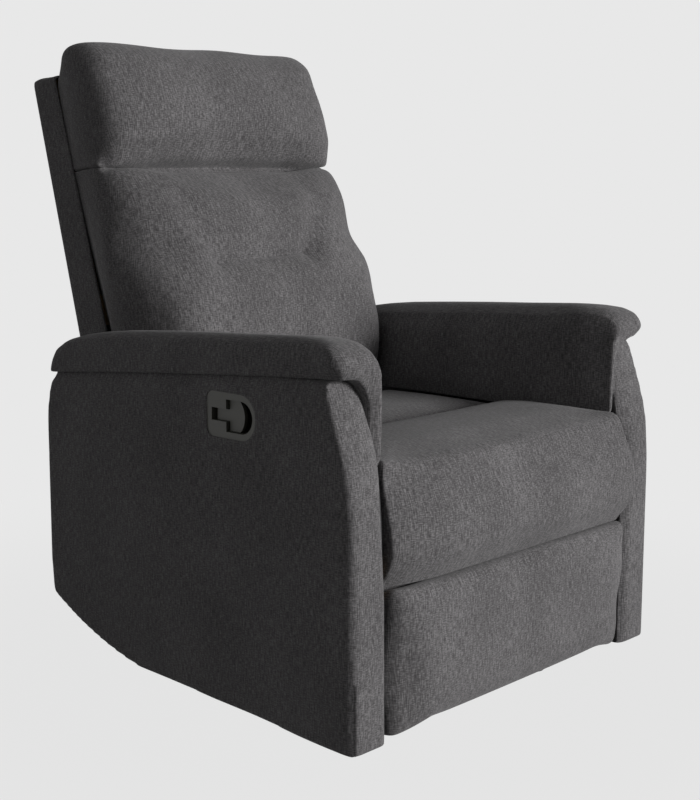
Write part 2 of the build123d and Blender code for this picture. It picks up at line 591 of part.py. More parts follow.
def front_roll():
    """Bolster from the seam over the front edge and down to the footrest."""
    apron_rear = SEAT_BOX_FRONT - FACE_GAP
    profile = make_face([
        Polyline((SEAT_SEAM_Y, SEAT_TOP), (SEAT_SEAM_Y, seat_deck), (apron_rear, seat_deck),
                 (apron_rear, ROLL_BOTTOM), (SEAT_FRONT + 32, ROLL_BOTTOM)),
        Spline((SEAT_FRONT + 32, ROLL_BOTTOM), (SEAT_FRONT, ROLL_BOTTOM + 66),
               (SEAT_FRONT + 9, SEAT_TOP - 54), (SEAT_FRONT + 42, SEAT_TOP + 1),
               (SEAT_FRONT + 112, SEAT_TOP + ROLL_RISE), (SEAT_SEAM_Y - 90, SEAT_TOP + ROLL_RISE - 1),
               (SEAT_SEAM_Y, SEAT_TOP))])
    return extrude(side_plane(-SEAT_HALF) * profile, 2 * SEAT_HALF)


seat_deck = RAIL_TOP + FACE_GAP + SINUOUS_WIRE + 4
rail_inner = SEAT_PLATE_X + PLATE_T + FACE_GAP
plate_bolts = [(y, BOLT_Z) for y in PLATE_BOLT_YS]
rail_bolts = plate_bolts + [(FRONT_BOLT_Y, BOLT_Z)]
spring_columns = [(column - (SPRING_ROWS - 1) / 2) * SPRING_ROW_PITCH for column in range(SPRING_ROWS)]

save_sides("seat_plate", seat_plate())
save("seat_side_rails", *both(side_rail()))
save("seat_front_rail", seat_cross_rail(SEAT_BOX_FRONT, ARM_INNER - FACE_GAP))
save("seat_rear_rail", seat_cross_rail(REAR_RAIL_Y, SEAT_PLATE_X - FACE_GAP))
save("seat_springs", *[seat_spring(x) for x in spring_columns])
save("seat_spring_clips", *[spring_clip(x, y + RAIL_T / 2, RAIL_TOP) for x in spring_columns
                            for y in (SEAT_BOX_FRONT, REAR_RAIL_Y)])
save("rail_bolts", *[piece for point in rail_bolts for piece in both(rail_bolt(point))])
seat_pins = [pivot_pin(FOOT_FRONT_PIVOT, FRONT_LINK_X, SEAT_PLATE_X),
             pivot_pin(FOOT_REAR_PIVOT, REAR_LINK_X, SEAT_PLATE_X),
             pivot_pin(SEAT_FRONT_PIVOT, SWING_X, SEAT_PLATE_X),
             pivot_pin(SEAT_REAR_PIVOT, SWING_X, SEAT_PLATE_X),
             pivot_pin(BACK_PIVOT, BACK_BRACKET_X, SEAT_PLATE_X, BACK_PIN_R)]
seat_pins.append(spring_stud(SPRING_ANCHOR, SEAT_PLATE_X))
save("seat_pivot_pins", *[piece for pin in seat_pins for piece in both(pin)])
save("seat_cushion", seat_panel())
save("seat_front_roll", front_roll())


# ---------------------------------------------------------------- arms
def arm_outline():
    """Side outline of an arm as a sketch: flat front, upswept heel, gently falling top."""
    front_low = (ARM_FRONT, 320.0)
    edges = [
        Line((ARM_FRONT, ARM_BOTTOM), ARM_HEEL_START),
        ThreePointArc(ARM_HEEL_START, ARM_HEEL_MID, ARM_HEEL_END),
        Line(ARM_HEEL_END, (ARM_REAR, 205)),
        Line((ARM_REAR, 205), (ARM_REAR - 1, 430)),
        ThreePointArc((ARM_REAR - 1, 430), (ARM_REAR - 9, 490), ARM_TOP_REAR),
        ThreePointArc(ARM_TOP_REAR, ARM_TOP_MID, ARM_TOP_FRONT),
        ThreePointArc(ARM_TOP_FRONT, (ARM_FRONT + 11, 460), front_low),
        Line(front_low, (ARM_FRONT, ARM_BOTTOM))]
    return make_face(edges)


def arm_cover():
    """Padded outer cover: side, front, rear, top and bottom, open towards the seat."""
    cover = extrude(side_plane(ARM_INNER) * arm_outline(), ARM_WIDTH)
    cover = fillet(cover.edges().group_by(Axis.X)[-1], ARM_COVER_T - 1)
    return cover - extrude(side_plane(ARM_INNER - 1) * offset(arm_outline(), -ARM_COVER_T),
                           ARM_WIDTH - ARM_COVER_T + 1)


def arm_frame():
    """Timber ring with a middle post, inside the cover."""
    outer = offset(arm_outline(), -(ARM_COVER_T + FACE_GAP))
    ring = outer - offset(arm_outline(), -(ARM_COVER_T + FACE_GAP + ARM_BOARD))
    post = outer & Pos(ARM_POST_Y, ARM_BOTTOM) * Rectangle(ARM_BOARD, 2 * PAD_TOP_FRONT[1])
    depth = ARM_OUTER - ARM_COVER_T - FACE_GAP - frame_inner
    return extrude(side_plane(frame_inner) * (ring + post), depth)


def arm_inner_panel():
    """Plywood panel that closes the arm inside its cover and takes the bolts from the seat rail."""
    panel = extrude(side_plane(ARM_INNER) * offset(arm_outline(), -(ARM_COVER_T + FACE_GAP)), ARM_PANEL_T)
    for point in rail_bolts:
        panel -= rod_x(point, BOLT_R + BOLT_FIT, ARM_INNER - 1, ARM_INNER + ARM_PANEL_T + 1)
    return panel


def arm_pad():
    """Stuffed pad over the arm, with an apron down the inner side and a rolled nose."""
    arm_top = (ARM_TOP_REAR, ARM_TOP_MID, ARM_TOP_FRONT)
    seat_rear, seat_mid, seat_front = (add(point, (0, FACE_GAP)) for point in arm_top)
    nose_under = add(ARM_TOP_FRONT, (-26, 4))
    top = make_face([
        ThreePointArc(seat_rear, seat_mid, seat_front),
        Line(seat_front, nose_under),
        Spline(nose_under, PAD_NOSE, PAD_ROLL, PAD_TOP_FRONT, *PAD_CROWN, PAD_TOP_REAR, PAD_REAR_LIP,
               seat_rear)])
    pad = extrude(side_plane(PAD_INNER) * top, PAD_OUTER - PAD_INNER)
    apron_front = ARM_FRONT + 2
    apron = make_face([
        ThreePointArc(add(ARM_TOP_REAR, (-4, 6)), add(ARM_TOP_MID, (0, 6)), add(ARM_TOP_FRONT, (-8, 6))),
        Polyline(add(ARM_TOP_FRONT, (-8, 6)), (apron_front, 480), (apron_front, PAD_APRON_BOTTOM),
                 (ARM_TOP_REAR[0] - 4, PAD_APRON_BOTTOM), add(ARM_TOP_REAR, (-4, 6)))])
    return pad + extrude(side_plane(PAD_INNER) * apron, ARM_INNER - FACE_GAP - PAD_INNER)


frame_inner = ARM_INNER + ARM_PANEL_T + 2 * FACE_GAP


# ---------------------------------------------------------------- lever and its cup, on the sitter's right
def cup_outline():
    """D-shaped rim outline: round at the front, small corners at the rear."""
    half = CUP_HEIGHT / 2
    nose = CUP_REAR_Y - CUP_LENGTH + half
    shape = Pos(nose, CUP_Z) * Circle(half)
    return shape + Pos((nose - CUP_CORNER + CUP_REAR_Y) / 2, CUP_Z) * RectangleRounded(
        CUP_REAR_Y - nose + CUP_CORNER, CUP_HEIGHT, CUP_CORNER)


def recess_outline(grow):
    """Finger recess: round-fronted pocket with a slot behind it for the lever's tab."""
    half = RECESS_HEIGHT / 2 + grow
    front = RECESS_FRONT_Y - grow
    rear = RECESS_FRONT_Y + RECESS_LENGTH + grow
    pocket = Pos(front + half, CUP_Z) * Circle(half)
    pocket += Pos((front + half + rear) / 2, CUP_Z) * Rectangle(rear - front - half, 2 * half)
    slot_rear = HINGE_Y + 8 + grow
    slot = Pos((rear + slot_rear) / 2, CUP_Z) * Rectangle(slot_rear - rear + 2, SLOT_HEIGHT + 2 * grow)
    return pocket + slot


def handle_cup():
    """Moulded cup: flanged rim proud of the arm, with a pocket let into it."""
    floor = ARM_OUTER - CUP_DEPTH
    rim = extrude(side_plane(ARM_OUTER + FACE_GAP) * cup_outline(), CUP_RIM)
    rim = fillet(rim.edges().group_by(Axis.X)[-1], CUP_RIM * 0.5)
    cup = rim + extrude(side_plane(floor) * recess_outline(CUP_WALL), CUP_DEPTH + FACE_GAP)
    cup -= extrude(side_plane(floor + CUP_WALL) * recess_outline(0), CUP_DEPTH + CUP_RIM + 1)
    return cup - rod_z(HINGE_X, HINGE_Y, LEVER_PIN_R, CUP_Z - SLOT_HEIGHT / 2 - CUP_WALL + 0.5,
                       CUP_Z + SLOT_HEIGHT / 2 + CUP_WALL - 0.5)


def lever_pin():
    """Hinge pin, its ends held in the walls of the cup's slot."""
    reach = SLOT_HEIGHT / 2 + CUP_WALL - 0.7
    return rod_z(HINGE_X, HINGE_Y, LEVER_PIN_R - PIVOT_FIT, CUP_Z - reach, CUP_Z + reach)


def handle_lever():
    """Paddle with a hollowed pull edge, on a narrow tab that ends in the hinge barrel."""
    outer = HINGE_X + LEVER_T
    rear = RECESS_FRONT_Y + RECESS_LENGTH - PADDLE_SWING_ROOM
    front = rear - PADDLE_LENGTH
    outline = Pos((front + rear) / 2, CUP_Z) * Rectangle(PADDLE_LENGTH, PADDLE_HEIGHT)
    outline &= Pos(front + PADDLE_ARC, CUP_Z) * Circle(PADDLE_ARC)
    paddle = extrude(side_plane(HINGE_X) * outline, LEVER_T)
    paddle -= extrude(side_plane(HINGE_X - 1) * offset(outline, -PADDLE_WALL), LEVER_T / 2 + 1)
    tab = block(HINGE_X, outer, rear, HINGE_Y, CUP_Z - TAB_HEIGHT / 2, CUP_Z + TAB_HEIGHT / 2)
    barrel = rod_z(HINGE_X, HINGE_Y, LEVER_T, CUP_Z - TAB_HEIGHT / 2, CUP_Z + TAB_HEIGHT / 2)
    return paddle + tab + barrel - rod_z(HINGE_X, HINGE_Y, LEVER_PIN_R + PIVOT_FIT, CUP_Z - TAB_HEIGHT,
                                         CUP_Z + TAB_HEIGHT)


cup_cut = extrude(side_plane(ARM_OUTER - CUP_DEPTH - FACE_GAP) * recess_outline(CUP_WALL + FACE_GAP), 60)
save("arm_inner_panel_left", arm_inner_panel())
save("arm_inner_panel_right", mirror(arm_inner_panel() - cup_cut, about=Plane.YZ))
save_sides("arm_pad", arm_pad())
save("arm_cover_left", arm_cover())
save("arm_cover_right", mirror(arm_cover() - cup_cut, about=Plane.YZ))
save("arm_frame_left", arm_frame())
save("arm_frame_right", mirror(arm_frame() - cup_cut, about=Plane.YZ))
save("handle_cup", mirror(handle_cup(), about=Plane.YZ))
save("handle_pin", mirror(lever_pin(), about=Plane.YZ))
save("handle_lever", mirror(handle_lever(), about=Plane.YZ))


# ---------------------------------------------------------------- back, drawn upright about its hinge
def back_bracket():
    """Flat steel bracket on the outside of the back post, cranked forward to the hinge."""
    pin = sub(back_crank_pin, BACK_PIVOT)
    tilt = radians(BACK_TILT)
    crank_end = (pin[0] * cos(tilt) - pin[1] * sin(tilt), pin[0] * sin(tilt) + pin[1] * cos(tilt))
    along = degrees(atan2(crank_end[1], crank_end[0]))
    outline = bar((0, 0), crank_end, BRACKET_R) + bar((0, 0), BRACKET_ELBOW, BRACKET_R)
    outline += bar(BRACKET_ELBOW, (POST_CENTRE, BRACKET_TOP), BRACKET_R)
    outline -= Circle(BACK_PIN_R + PIVOT_FIT)
    outline -= Pos(*crank_end) * Rot(0, 0, along) * SlotCenterToCenter(BACK_SLOT, 2 * loose_hole)
    for z in bracket_bolts:
        outline -= Pos(POST_CENTRE, z) * Circle(BOLT_R + BOLT_FIT)
    return extrude(side_plane(BACK_BRACKET_X) * outline, PLATE_T)


def back_post():
    """Timber post of the back, bored for the bracket bolts."""
    post = block(post_outer - POST_W, post_outer, post_front, post_front + POST_T, post_bottom, post_top)
    for z in bracket_bolts:
        post -= rod_x((POST_CENTRE, z), BOLT_R + BOLT_FIT, post_outer - POST_W - 1, post_outer + 1)
    return post


def bracket_bolt(z):
    """Bolt through bracket and post, with a nut on the inside."""
    head_face = BACK_BRACKET_X + PLATE_T + FACE_GAP / 2
    nut_face = post_outer - POST_W - FACE_GAP
    centre = (POST_CENTRE, z)
    bolt = rod_x(centre, BOLT_R, nut_face - 6, head_face + 0.5)
    bolt += rod_x(centre, BOLT_HEAD_R, head_face, head_face + BRACKET_HEAD_T)
    return bolt + extrude(side_plane(nut_face - 4) * Pos(*centre) * RegularPolygon(5.5, 6), 4)


def back_rail(bottom):
    """Timber rail between the posts."""
    reach = post_outer - POST_W - FACE_GAP
    return block(-reach, reach, post_front, post_front + POST_T, bottom, bottom + BACK_RAIL_H)


def back_shell():
    """Padded rear cover of the back: rear panel with side, top and bottom returns."""
    rear_outline = Pos(0, (BACK_TOP + BACK_BOTTOM) / 2) * RectangleRounded(
        2 * BACK_HALF, BACK_TOP - BACK_BOTTOM, SHELL_CORNER)
    plane = Plane.XZ.offset(-SHELL_REAR)
    shell = extrude(plane * rear_outline, SHELL_REAR - SHELL_FRONT)
    shell = fillet(shell.edges().group_by(Axis.Y)[-1], 4)
    inside = Pos(0, (BACK_TOP + BACK_BOTTOM) / 2) * RectangleRounded(
        2 * (BACK_HALF - SHELL_T), BACK_TOP - BACK_BOTTOM - 2 * SHELL_T, SHELL_CORNER - SHELL_T)
    return shell - extrude(Plane.XZ.offset(-(SHELL_REAR - SHELL_T)) * inside, SHELL_REAR)


def softened(cushion):
    """Round the curved front edges at both sides of a cushion."""
    return fillet(cushion.edges().filter_by(GeomType.BSPLINE), CUSHION_EDGE_R)


def lumbar_cushion():
    """Back cushion below the head seam, thickest at the small of the back."""
    rear = SHELL_FRONT - FACE_GAP
    front = LUMBAR_FRONT
    profile = make_face([
        Polyline((HEAD_FRONT + 14, HEAD_SEAM - FACE_GAP), (rear, HEAD_SEAM - FACE_GAP),
                 (rear, CUSHION_BOTTOM), (front + 44, CUSHION_BOTTOM)),
        Spline((front + 44, CUSHION_BOTTOM), (front + 14, CUSHION_BOTTOM + 61), (front, CUSHION_BOTTOM + 149),
               (front + 10, CUSHION_BOTTOM + 227), (front + 30, HEAD_SEAM - 97),
               (HEAD_FRONT + 8, HEAD_SEAM - 40), (HEAD_FRONT + 14, HEAD_SEAM - FACE_GAP))])
    return softened(extrude(side_plane(-BACK_CUSHION_HALF) * profile, 2 * BACK_CUSHION_HALF))


def head_cushion():
    """Rounded head pillow above the seam."""
    rear = SHELL_FRONT - FACE_GAP
    profile = make_face([
        Polyline((rear - 22, HEAD_TOP - 8), (rear, HEAD_TOP - 34), (rear, HEAD_SEAM),
                 (HEAD_FRONT + 14, HEAD_SEAM)),
        Spline((HEAD_FRONT + 14, HEAD_SEAM), (HEAD_FRONT, HEAD_SEAM + 90), (HEAD_FRONT + 14, HEAD_TOP - 60),
               (HEAD_FRONT + 64, HEAD_TOP), (rear - 22, HEAD_TOP - 8))])
    return softened(extrude(side_plane(-BACK_CUSHION_HALF) * profile, 2 * BACK_CUSHION_HALF))


def webbing_band(z):
    """Elastic webbing stretched across the front of the back, its ends on the posts."""
    reach = post_outer - POST_W / 4
    front = post_front - FACE_GAP
    return block(-reach, reach, front - WEBBING_T, front, z - WEBBING_W / 2, z + WEBBING_W / 2)


def placed(*pieces):
    """Pieces drawn about the hinge, moved to the back's place and tilt."""
    return [back_place * piece for piece in pieces]


webbing_heights = [WEBBING_START + WEBBING_PITCH * row for row in range(WEBBING_ROWS)]
save("back_brackets", *placed(*both(back_bracket())))
save("back_posts", *placed(*both(back_post())))
save("back_bolts", *placed(*[piece for z in bracket_bolts for piece in both(bracket_bolt(z))]))
save("back_cross_rails", *placed(back_rail(post_bottom), back_rail(post_top - BACK_RAIL_H)))
save("back_webbing", *placed(*[webbing_band(z) for z in webbing_heights]))
save("back_shell", *placed(back_shell()))
save("back_cushion", *placed(lumbar_cushion()))
save("head_cushion", *placed(head_cushion()))
save("back_crank_pins", *both(pivot_pin(back_crank_pin, BACK_LINK_X, BACK_BRACKET_X)))
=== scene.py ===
import json
import logging
import math
from dataclasses import dataclass, field
from enum import Enum
from typing import Callable, Optional, Sequence

import bpy
import numpy as np
from mathutils import Matrix, Vector

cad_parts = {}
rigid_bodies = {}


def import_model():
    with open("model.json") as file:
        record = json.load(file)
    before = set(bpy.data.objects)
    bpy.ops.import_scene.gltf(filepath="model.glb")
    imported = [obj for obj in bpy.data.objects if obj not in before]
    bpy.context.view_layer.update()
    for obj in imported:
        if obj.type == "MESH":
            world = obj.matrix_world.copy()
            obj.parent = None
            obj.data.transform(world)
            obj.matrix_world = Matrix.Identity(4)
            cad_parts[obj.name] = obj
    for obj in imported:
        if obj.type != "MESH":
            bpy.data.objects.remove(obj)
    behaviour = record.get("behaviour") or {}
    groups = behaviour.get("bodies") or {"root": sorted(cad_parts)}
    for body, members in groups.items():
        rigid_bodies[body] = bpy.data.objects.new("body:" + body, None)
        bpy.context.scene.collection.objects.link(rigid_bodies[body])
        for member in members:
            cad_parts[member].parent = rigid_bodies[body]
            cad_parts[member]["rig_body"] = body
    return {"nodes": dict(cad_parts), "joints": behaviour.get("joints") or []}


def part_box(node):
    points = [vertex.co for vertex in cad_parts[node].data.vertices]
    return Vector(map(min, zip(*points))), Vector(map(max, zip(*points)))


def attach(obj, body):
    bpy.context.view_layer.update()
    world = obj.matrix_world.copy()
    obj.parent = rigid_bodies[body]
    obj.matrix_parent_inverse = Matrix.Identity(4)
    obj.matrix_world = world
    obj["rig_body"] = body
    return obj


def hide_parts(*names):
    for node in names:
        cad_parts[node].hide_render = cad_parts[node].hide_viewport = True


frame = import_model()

log = logging.getLogger("recliner")

Object = bpy.types.Object
Points = np.ndarray
MM = 0.001
X, Y, Z = 0, 1, 2                    # columns of a row of points
SKIN_VOXEL = 6.0                     # mm, mesh of the stretched covers
COVER_WALL = 4.0                     # mm, wall of the stretched covers
PANEL_BIAS = (1.0, 1.05, 0.9)        # how readily a face counts as side, front or top of its panel
SIDE_SHIFT, TOP_SHIFT = 3.1, 1.7     # m, keep the threads of neighbouring panels from running on


# ---------------------------------------------------------------- small tools shared by every sub-assembly
def linear(hex_colour: str) -> tuple[float, float, float, float]:
    """Turn an sRGB hex colour into linear light.

    Args:
        hex_colour: colour as "#rrggbb".

    Returns:
        Red, green, blue and alpha, in linear light.
    """
    channels = [int(hex_colour[i:i + 2], 16) / 255 for i in (1, 3, 5)]
    light = [c / 12.92 if c <= 0.04045 else ((c + 0.055) / 1.055) ** 2.4 for c in channels]
    return (light[0], light[1], light[2], 1.0)


def add_node(tree: bpy.types.NodeTree, kind: str, inputs: Optional[dict] = None,
             **settings: object) -> bpy.types.Node:
    """Add a node with its settings, socket values and links.

    Args:
        tree: node tree to add to.
        kind: the node's type name.
        inputs: socket name or index to a value, or to another node's output socket.
        **settings: properties of the node itself.

    Returns:
        The new node.
    """
    node = tree.nodes.new(kind)
    for name, value in settings.items():
        setattr(node, name, value)
    plug(tree, node, inputs or {})
    return node


def plug(tree: bpy.types.NodeTree, node: bpy.types.Node, inputs: dict) -> None:
    """Fill a node's sockets.

    Args:
        tree: the node's tree.
        node: node to fill.
        inputs: socket name or index to a value, or to another node's output socket.
    """
    for key, value in inputs.items():
        if isinstance(value, bpy.types.NodeSocket):
            tree.links.new(value, node.inputs[key])
        else:
            node.inputs[key].default_value = value


def new_material(name: str) -> tuple[bpy.types.Material, bpy.types.NodeTree, bpy.types.Node]:
    """Start a material.

    Args:
        name: its name.

    Returns:
        The material, its node tree and its shader.
    """
    material = bpy.data.materials.new(name)
    material.use_nodes = True
    return material, material.node_tree, material.node_tree.nodes["Principled BSDF"]


def seen_directly(tree: bpy.types.NodeTree) -> bpy.types.NodeSocket:
    """Tell rays that see a surface, straight or in a shiny or clear piece, from rays that light the chair.

    Args:
        tree: node tree to add to.

    Returns:
        Output that is 1 for the rays that see.
    """
    path = add_node(tree, "ShaderNodeLightPath")
    seen = path.outputs["Is Camera Ray"]
    for kind in ("Is Glossy Ray", "Is Transmission Ray"):
        either = add_node(tree, "ShaderNodeMath", {0: seen, 1: path.outputs[kind]}, operation="MAXIMUM")
        seen = either.outputs[0]
    return seen


def activate(piece: Object) -> None:
    """Deselect everything, then select one piece and make it the active one.

    Args:
        piece: object to work on next.
    """
    bpy.ops.object.select_all(action="DESELECT")
    piece.hide_set(False)
    piece.select_set(True)
    bpy.context.view_layer.objects.active = piece


def read_points(piece: Object) -> Points:
    """Read a mesh's vertices.

    Args:
        piece: mesh object.

    Returns:
        One row of x, y, z per vertex, in metres.
    """
    flat = np.empty(len(piece.data.vertices) * 3, np.float64)
    piece.data.vertices.foreach_get("co", flat)
    return flat.reshape(-1, 3)


def write_points(piece: Object, points: Points) -> None:
    """Move a mesh's vertices.

    Args:
        piece: mesh object.
        points: one row of x, y, z per vertex, in metres.
    """
    piece.data.vertices.foreach_set("co", points.astype(np.float32).ravel())
    piece.data.update()


def bell(distance: Points, width: float) -> Points:
    """Smooth bump that is 1 at distance 0 and fades out.

    Args:
        distance: distances from the middle of the bump.
        width: distance at which about a third is left.

    Returns:
        The bump's height at each distance.
    """
    return np.exp(-(distance / width) ** 2)


def ramp(values: Points, low: float, high: float) -> Points:
    """Smooth step from 0 at low to 1 at high.

    Args:
        values: numbers to map.
        low: value that gives 0.
        high: value that gives 1.

    Returns:
        The mapped numbers.
    """
    t = np.clip((values - low) / (high - low), 0, 1)
    return t * t * (3 - 2 * t)


def rise(points: Points, axis: int, low: float, high: float) -> Points:
    """Ramp along one axis.

    Args:
        points: points in metres.
        axis: column that the ramp reads.
        low: place in mm that gives 0.
        high: place in mm that gives 1.

    Returns:
        0 to 1 for each point.
    """
    return ramp(points[:, axis], low * MM, high * MM)


def hump(points: Points, axis: int, middle: Points | float, width: float) -> Points:
    """Bell along one axis.

    Args:
        points: points in metres.
        axis: column that the bell reads.
        middle: place of its top, in mm.
        width: distance in mm at which about a third is left.

    Returns:
        0 to 1 for each point.
    """
    return bell(points[:, axis] - middle * MM, width * MM)


def crown(across: Points, along: Points) -> Points:
    """How far a padded face stands out: full over its middle, falling off near its edges.

    Args:
        across: place on the face, -1 to 1 from edge to edge.
        along: the same, the other way.

    Returns:
        0 to 1 for each point.
    """
    return (1 - np.clip(across, -1, 1) ** 4) * (1 - np.clip(along, -1, 1) ** 4)


def round_corner(points: Points, axes: tuple[int, int], corner: tuple[Points | float, Points | float],
                 towards: tuple[int, int], radius: Points | float,
                 squareness: Points | float = 2.7) -> Points:
    """Round a square corner of a skin by drawing its square onto a quarter disc.

    Args:
        points: points in metres.
        axes: the two axes that the corner is seen in.
        corner: where the square corner stands, in mm, for each axis. It may differ from point to point.
        towards: +1 or -1 for each axis, the way that the corner points.
        radius: radius of the quarter disc, in mm, which may differ from point to point.
        squareness: 2 for a true disc, more for a fuller corner. It may differ from point to point.

    Returns:
        The moved points.
    """
    out = points.copy()
    a, b = axes
    u = np.clip(1 - (np.asarray(corner[0]) - points[:, a] / MM) * towards[0] / radius, 0, 1.15)
    v = np.clip(1 - (np.asarray(corner[1]) - points[:, b] / MM) * towards[1] / radius, 0, 1.15)
    out[:, a] -= towards[0] * radius * MM * u * (1 - np.sqrt(1 - v * v / squareness))
    out[:, b] -= towards[1] * radius * MM * v * (1 - np.sqrt(1 - u * u / squareness))
    return out


def even_out(piece: Object, moved: Points, passes: int) -> Points:
    """Spread a skin's movement over its neighbours, so that no crease is left in it.

    Args:
        piece: mesh object.
        moved: how far each point moves.
        passes: number of rounds.

    Returns:
        The evened movement.
    """
    ends = np.empty(len(piece.data.edges) * 2, dtype=np.int64)
    piece.data.edges.foreach_get("vertices", ends)
    first, second = ends[0::2], ends[1::2]
    count = len(moved)
    shared = np.maximum(np.bincount(first, minlength=count) + np.bincount(second, minlength=count), 1)
    for _ in range(passes):
        around = np.stack([np.bincount(first, weights=moved[second, axis], minlength=count)
                           + np.bincount(second, weights=moved[first, axis], minlength=count)
                           for axis in (X, Y, Z)], axis=1)
        moved = 0.4 * moved + 0.6 * around / shared[:, None]
    return moved


def apply_modifier(piece: Object, kind: str, **settings: object) -> None:
    """Add one modifier to a piece and apply it.

    Args:
        piece: mesh object.
        kind: the modifier's type name.
        **settings: properties of the modifier.
    """
    activate(piece)
    bpy.ops.object.modifier_add(type=kind)
    modifier = piece.modifiers[-1]
    for name, value in settings.items():
        setattr(modifier, name, value)
    bpy.ops.object.modifier_apply(modifier=modifier.name)


def copy_of_node(node: str, name: str) -> Object:
    """Copy a CAD node's mesh into a new object, with its loose triangles merged.

    Args:
        node: name of the CAD node.
        name: name of the new piece.

    Returns:
        The new object, at the origin, not yet riding on a body.
    """
    piece = bpy.data.objects.new(name, frame["nodes"][node].data.copy())
    piece.data.name = name
    piece.data.materials.clear()
    bpy.context.scene.collection.objects.link(piece)
    activate(piece)
    bpy.ops.object.mode_set(mode="EDIT")
    bpy.ops.mesh.select_all(action="SELECT")
    bpy.ops.mesh.remove_doubles(threshold=0.05 * MM)
    bpy.ops.mesh.normals_make_consistent(inside=False)
    bpy.ops.object.mode_set(mode="OBJECT")
    return piece


def slab(name: str, outline: Sequence[tuple[float, float]], low: float, high: float) -> Object:
    """Model a flat-sided block: an outline in the side view, extruded across the chair.

    Args:
        name: name of the block.
        outline: corners in mm, as y and z, one after the other.
        low: x of its first side, in mm.
        high: x of its other side, in mm.

    Returns:
        The closed block.
    """
    bpy.ops.object.select_all(action="DESELECT")
    bpy.ops.mesh.primitive_circle_add(vertices=len(outline), radius=1.0, fill_type="NGON")
    block = bpy.context.object
    block.name = name
    write_points(block, np.array([(low, y, z) for y, z in outline]) * MM)
    bpy.ops.object.mode_set(mode="EDIT")
    bpy.ops.mesh.select_all(action="SELECT")
    bpy.ops.mesh.extrude_region_move(TRANSFORM_OT_translate={"value": ((high - low) * MM, 0, 0)})
    bpy.ops.mesh.select_all(action="SELECT")
    bpy.ops.mesh.normals_make_consistent(inside=False)
    bpy.ops.object.mode_set(mode="OBJECT")
    return block


def bevel_edges(piece: Object, chosen: Callable[[Vector, Vector], bool], width: float, segments: int) -> None:
    """Bevel the edges of a block that a test picks.

    Args:
        piece: mesh object.
        chosen: test on an edge's two ends.
        width: width of the bevel, in mm.
        segments: faces across it.
    """
    activate(piece)
    bpy.ops.object.mode_set(mode="EDIT")
    bpy.ops.mesh.select_mode(type="EDGE")
    bpy.ops.mesh.select_all(action="DESELECT")
    bpy.ops.object.mode_set(mode="OBJECT")
    vertices = piece.data.vertices
    for edge in piece.data.edges:
        edge.select = chosen(vertices[edge.vertices[0]].co, vertices[edge.vertices[1]].co)
    bpy.ops.object.mode_set(mode="EDIT")
    bpy.ops.mesh.bevel(offset=width * MM, segments=segments)
    bpy.ops.object.mode_set(mode="OBJECT")


def mirror_x(piece: Object) -> None:
    """Turn a piece of the sitter's left side into one of the right side.

    Args:
        piece: mesh object.
    """
    points = read_points(piece)
    points[:, X] *= -1
    write_points(piece, points)
    piece.data.flip_normals()


def voxel_skin(piece: Object, voxel: float) -> None:
    """Rebuild a closed mesh as an even skin of small quads.

    Args:
        piece: closed mesh object.
        voxel: edge length of the quads, in metres.
    """
    activate(piece)
    piece.data.remesh_voxel_size = voxel
    piece.data.remesh_voxel_adaptivity = 0.0
    bpy.ops.object.voxel_remesh()


def hull_skin(piece: Object) -> None:
    """Close a piece's outside and rebuild it as an even skin.

    Args:
        piece: mesh object.
    """
    activate(piece)
    bpy.ops.object.mode_set(mode="EDIT")
    bpy.ops.mesh.select_all(action="SELECT")
    bpy.ops.mesh.convex_hull()
    bpy.ops.object.mode_set(mode="OBJECT")
    voxel_skin(piece, SKIN_VOXEL * MM)


def dress(piece: Object, finish: bpy.types.Material) -> None:
    """Give a piece one finish all over.

    Args:
        piece: object to dress.
        finish: its material.
    """
    if len(piece.data.materials) == 0:
        piece.data.materials.append(finish)
    for slot in piece.material_slots:
        slot.material = finish


def upholster(piece: Object, fabric: bpy.types.Material, node: str, place: Optional[Matrix] = None) -> None:
    """Lay the weave on a shaped piece, dress it, and let it ride with its CAD node's body and stand for it.

    Args:
        piece: shaped object, in its own upright frame.
        fabric: the cloth.
        node: CAD node that it replaces.
        place: turn from the piece's own frame to the chair's, where it has one.
    """
    lay_weave(piece)
    if place is not None:
        piece.data.transform(place)
    activate(piece)
    bpy.ops.object.shade_smooth()
    dress(piece, fabric)
    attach(piece, frame["nodes"][node]["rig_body"])
    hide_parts(node)


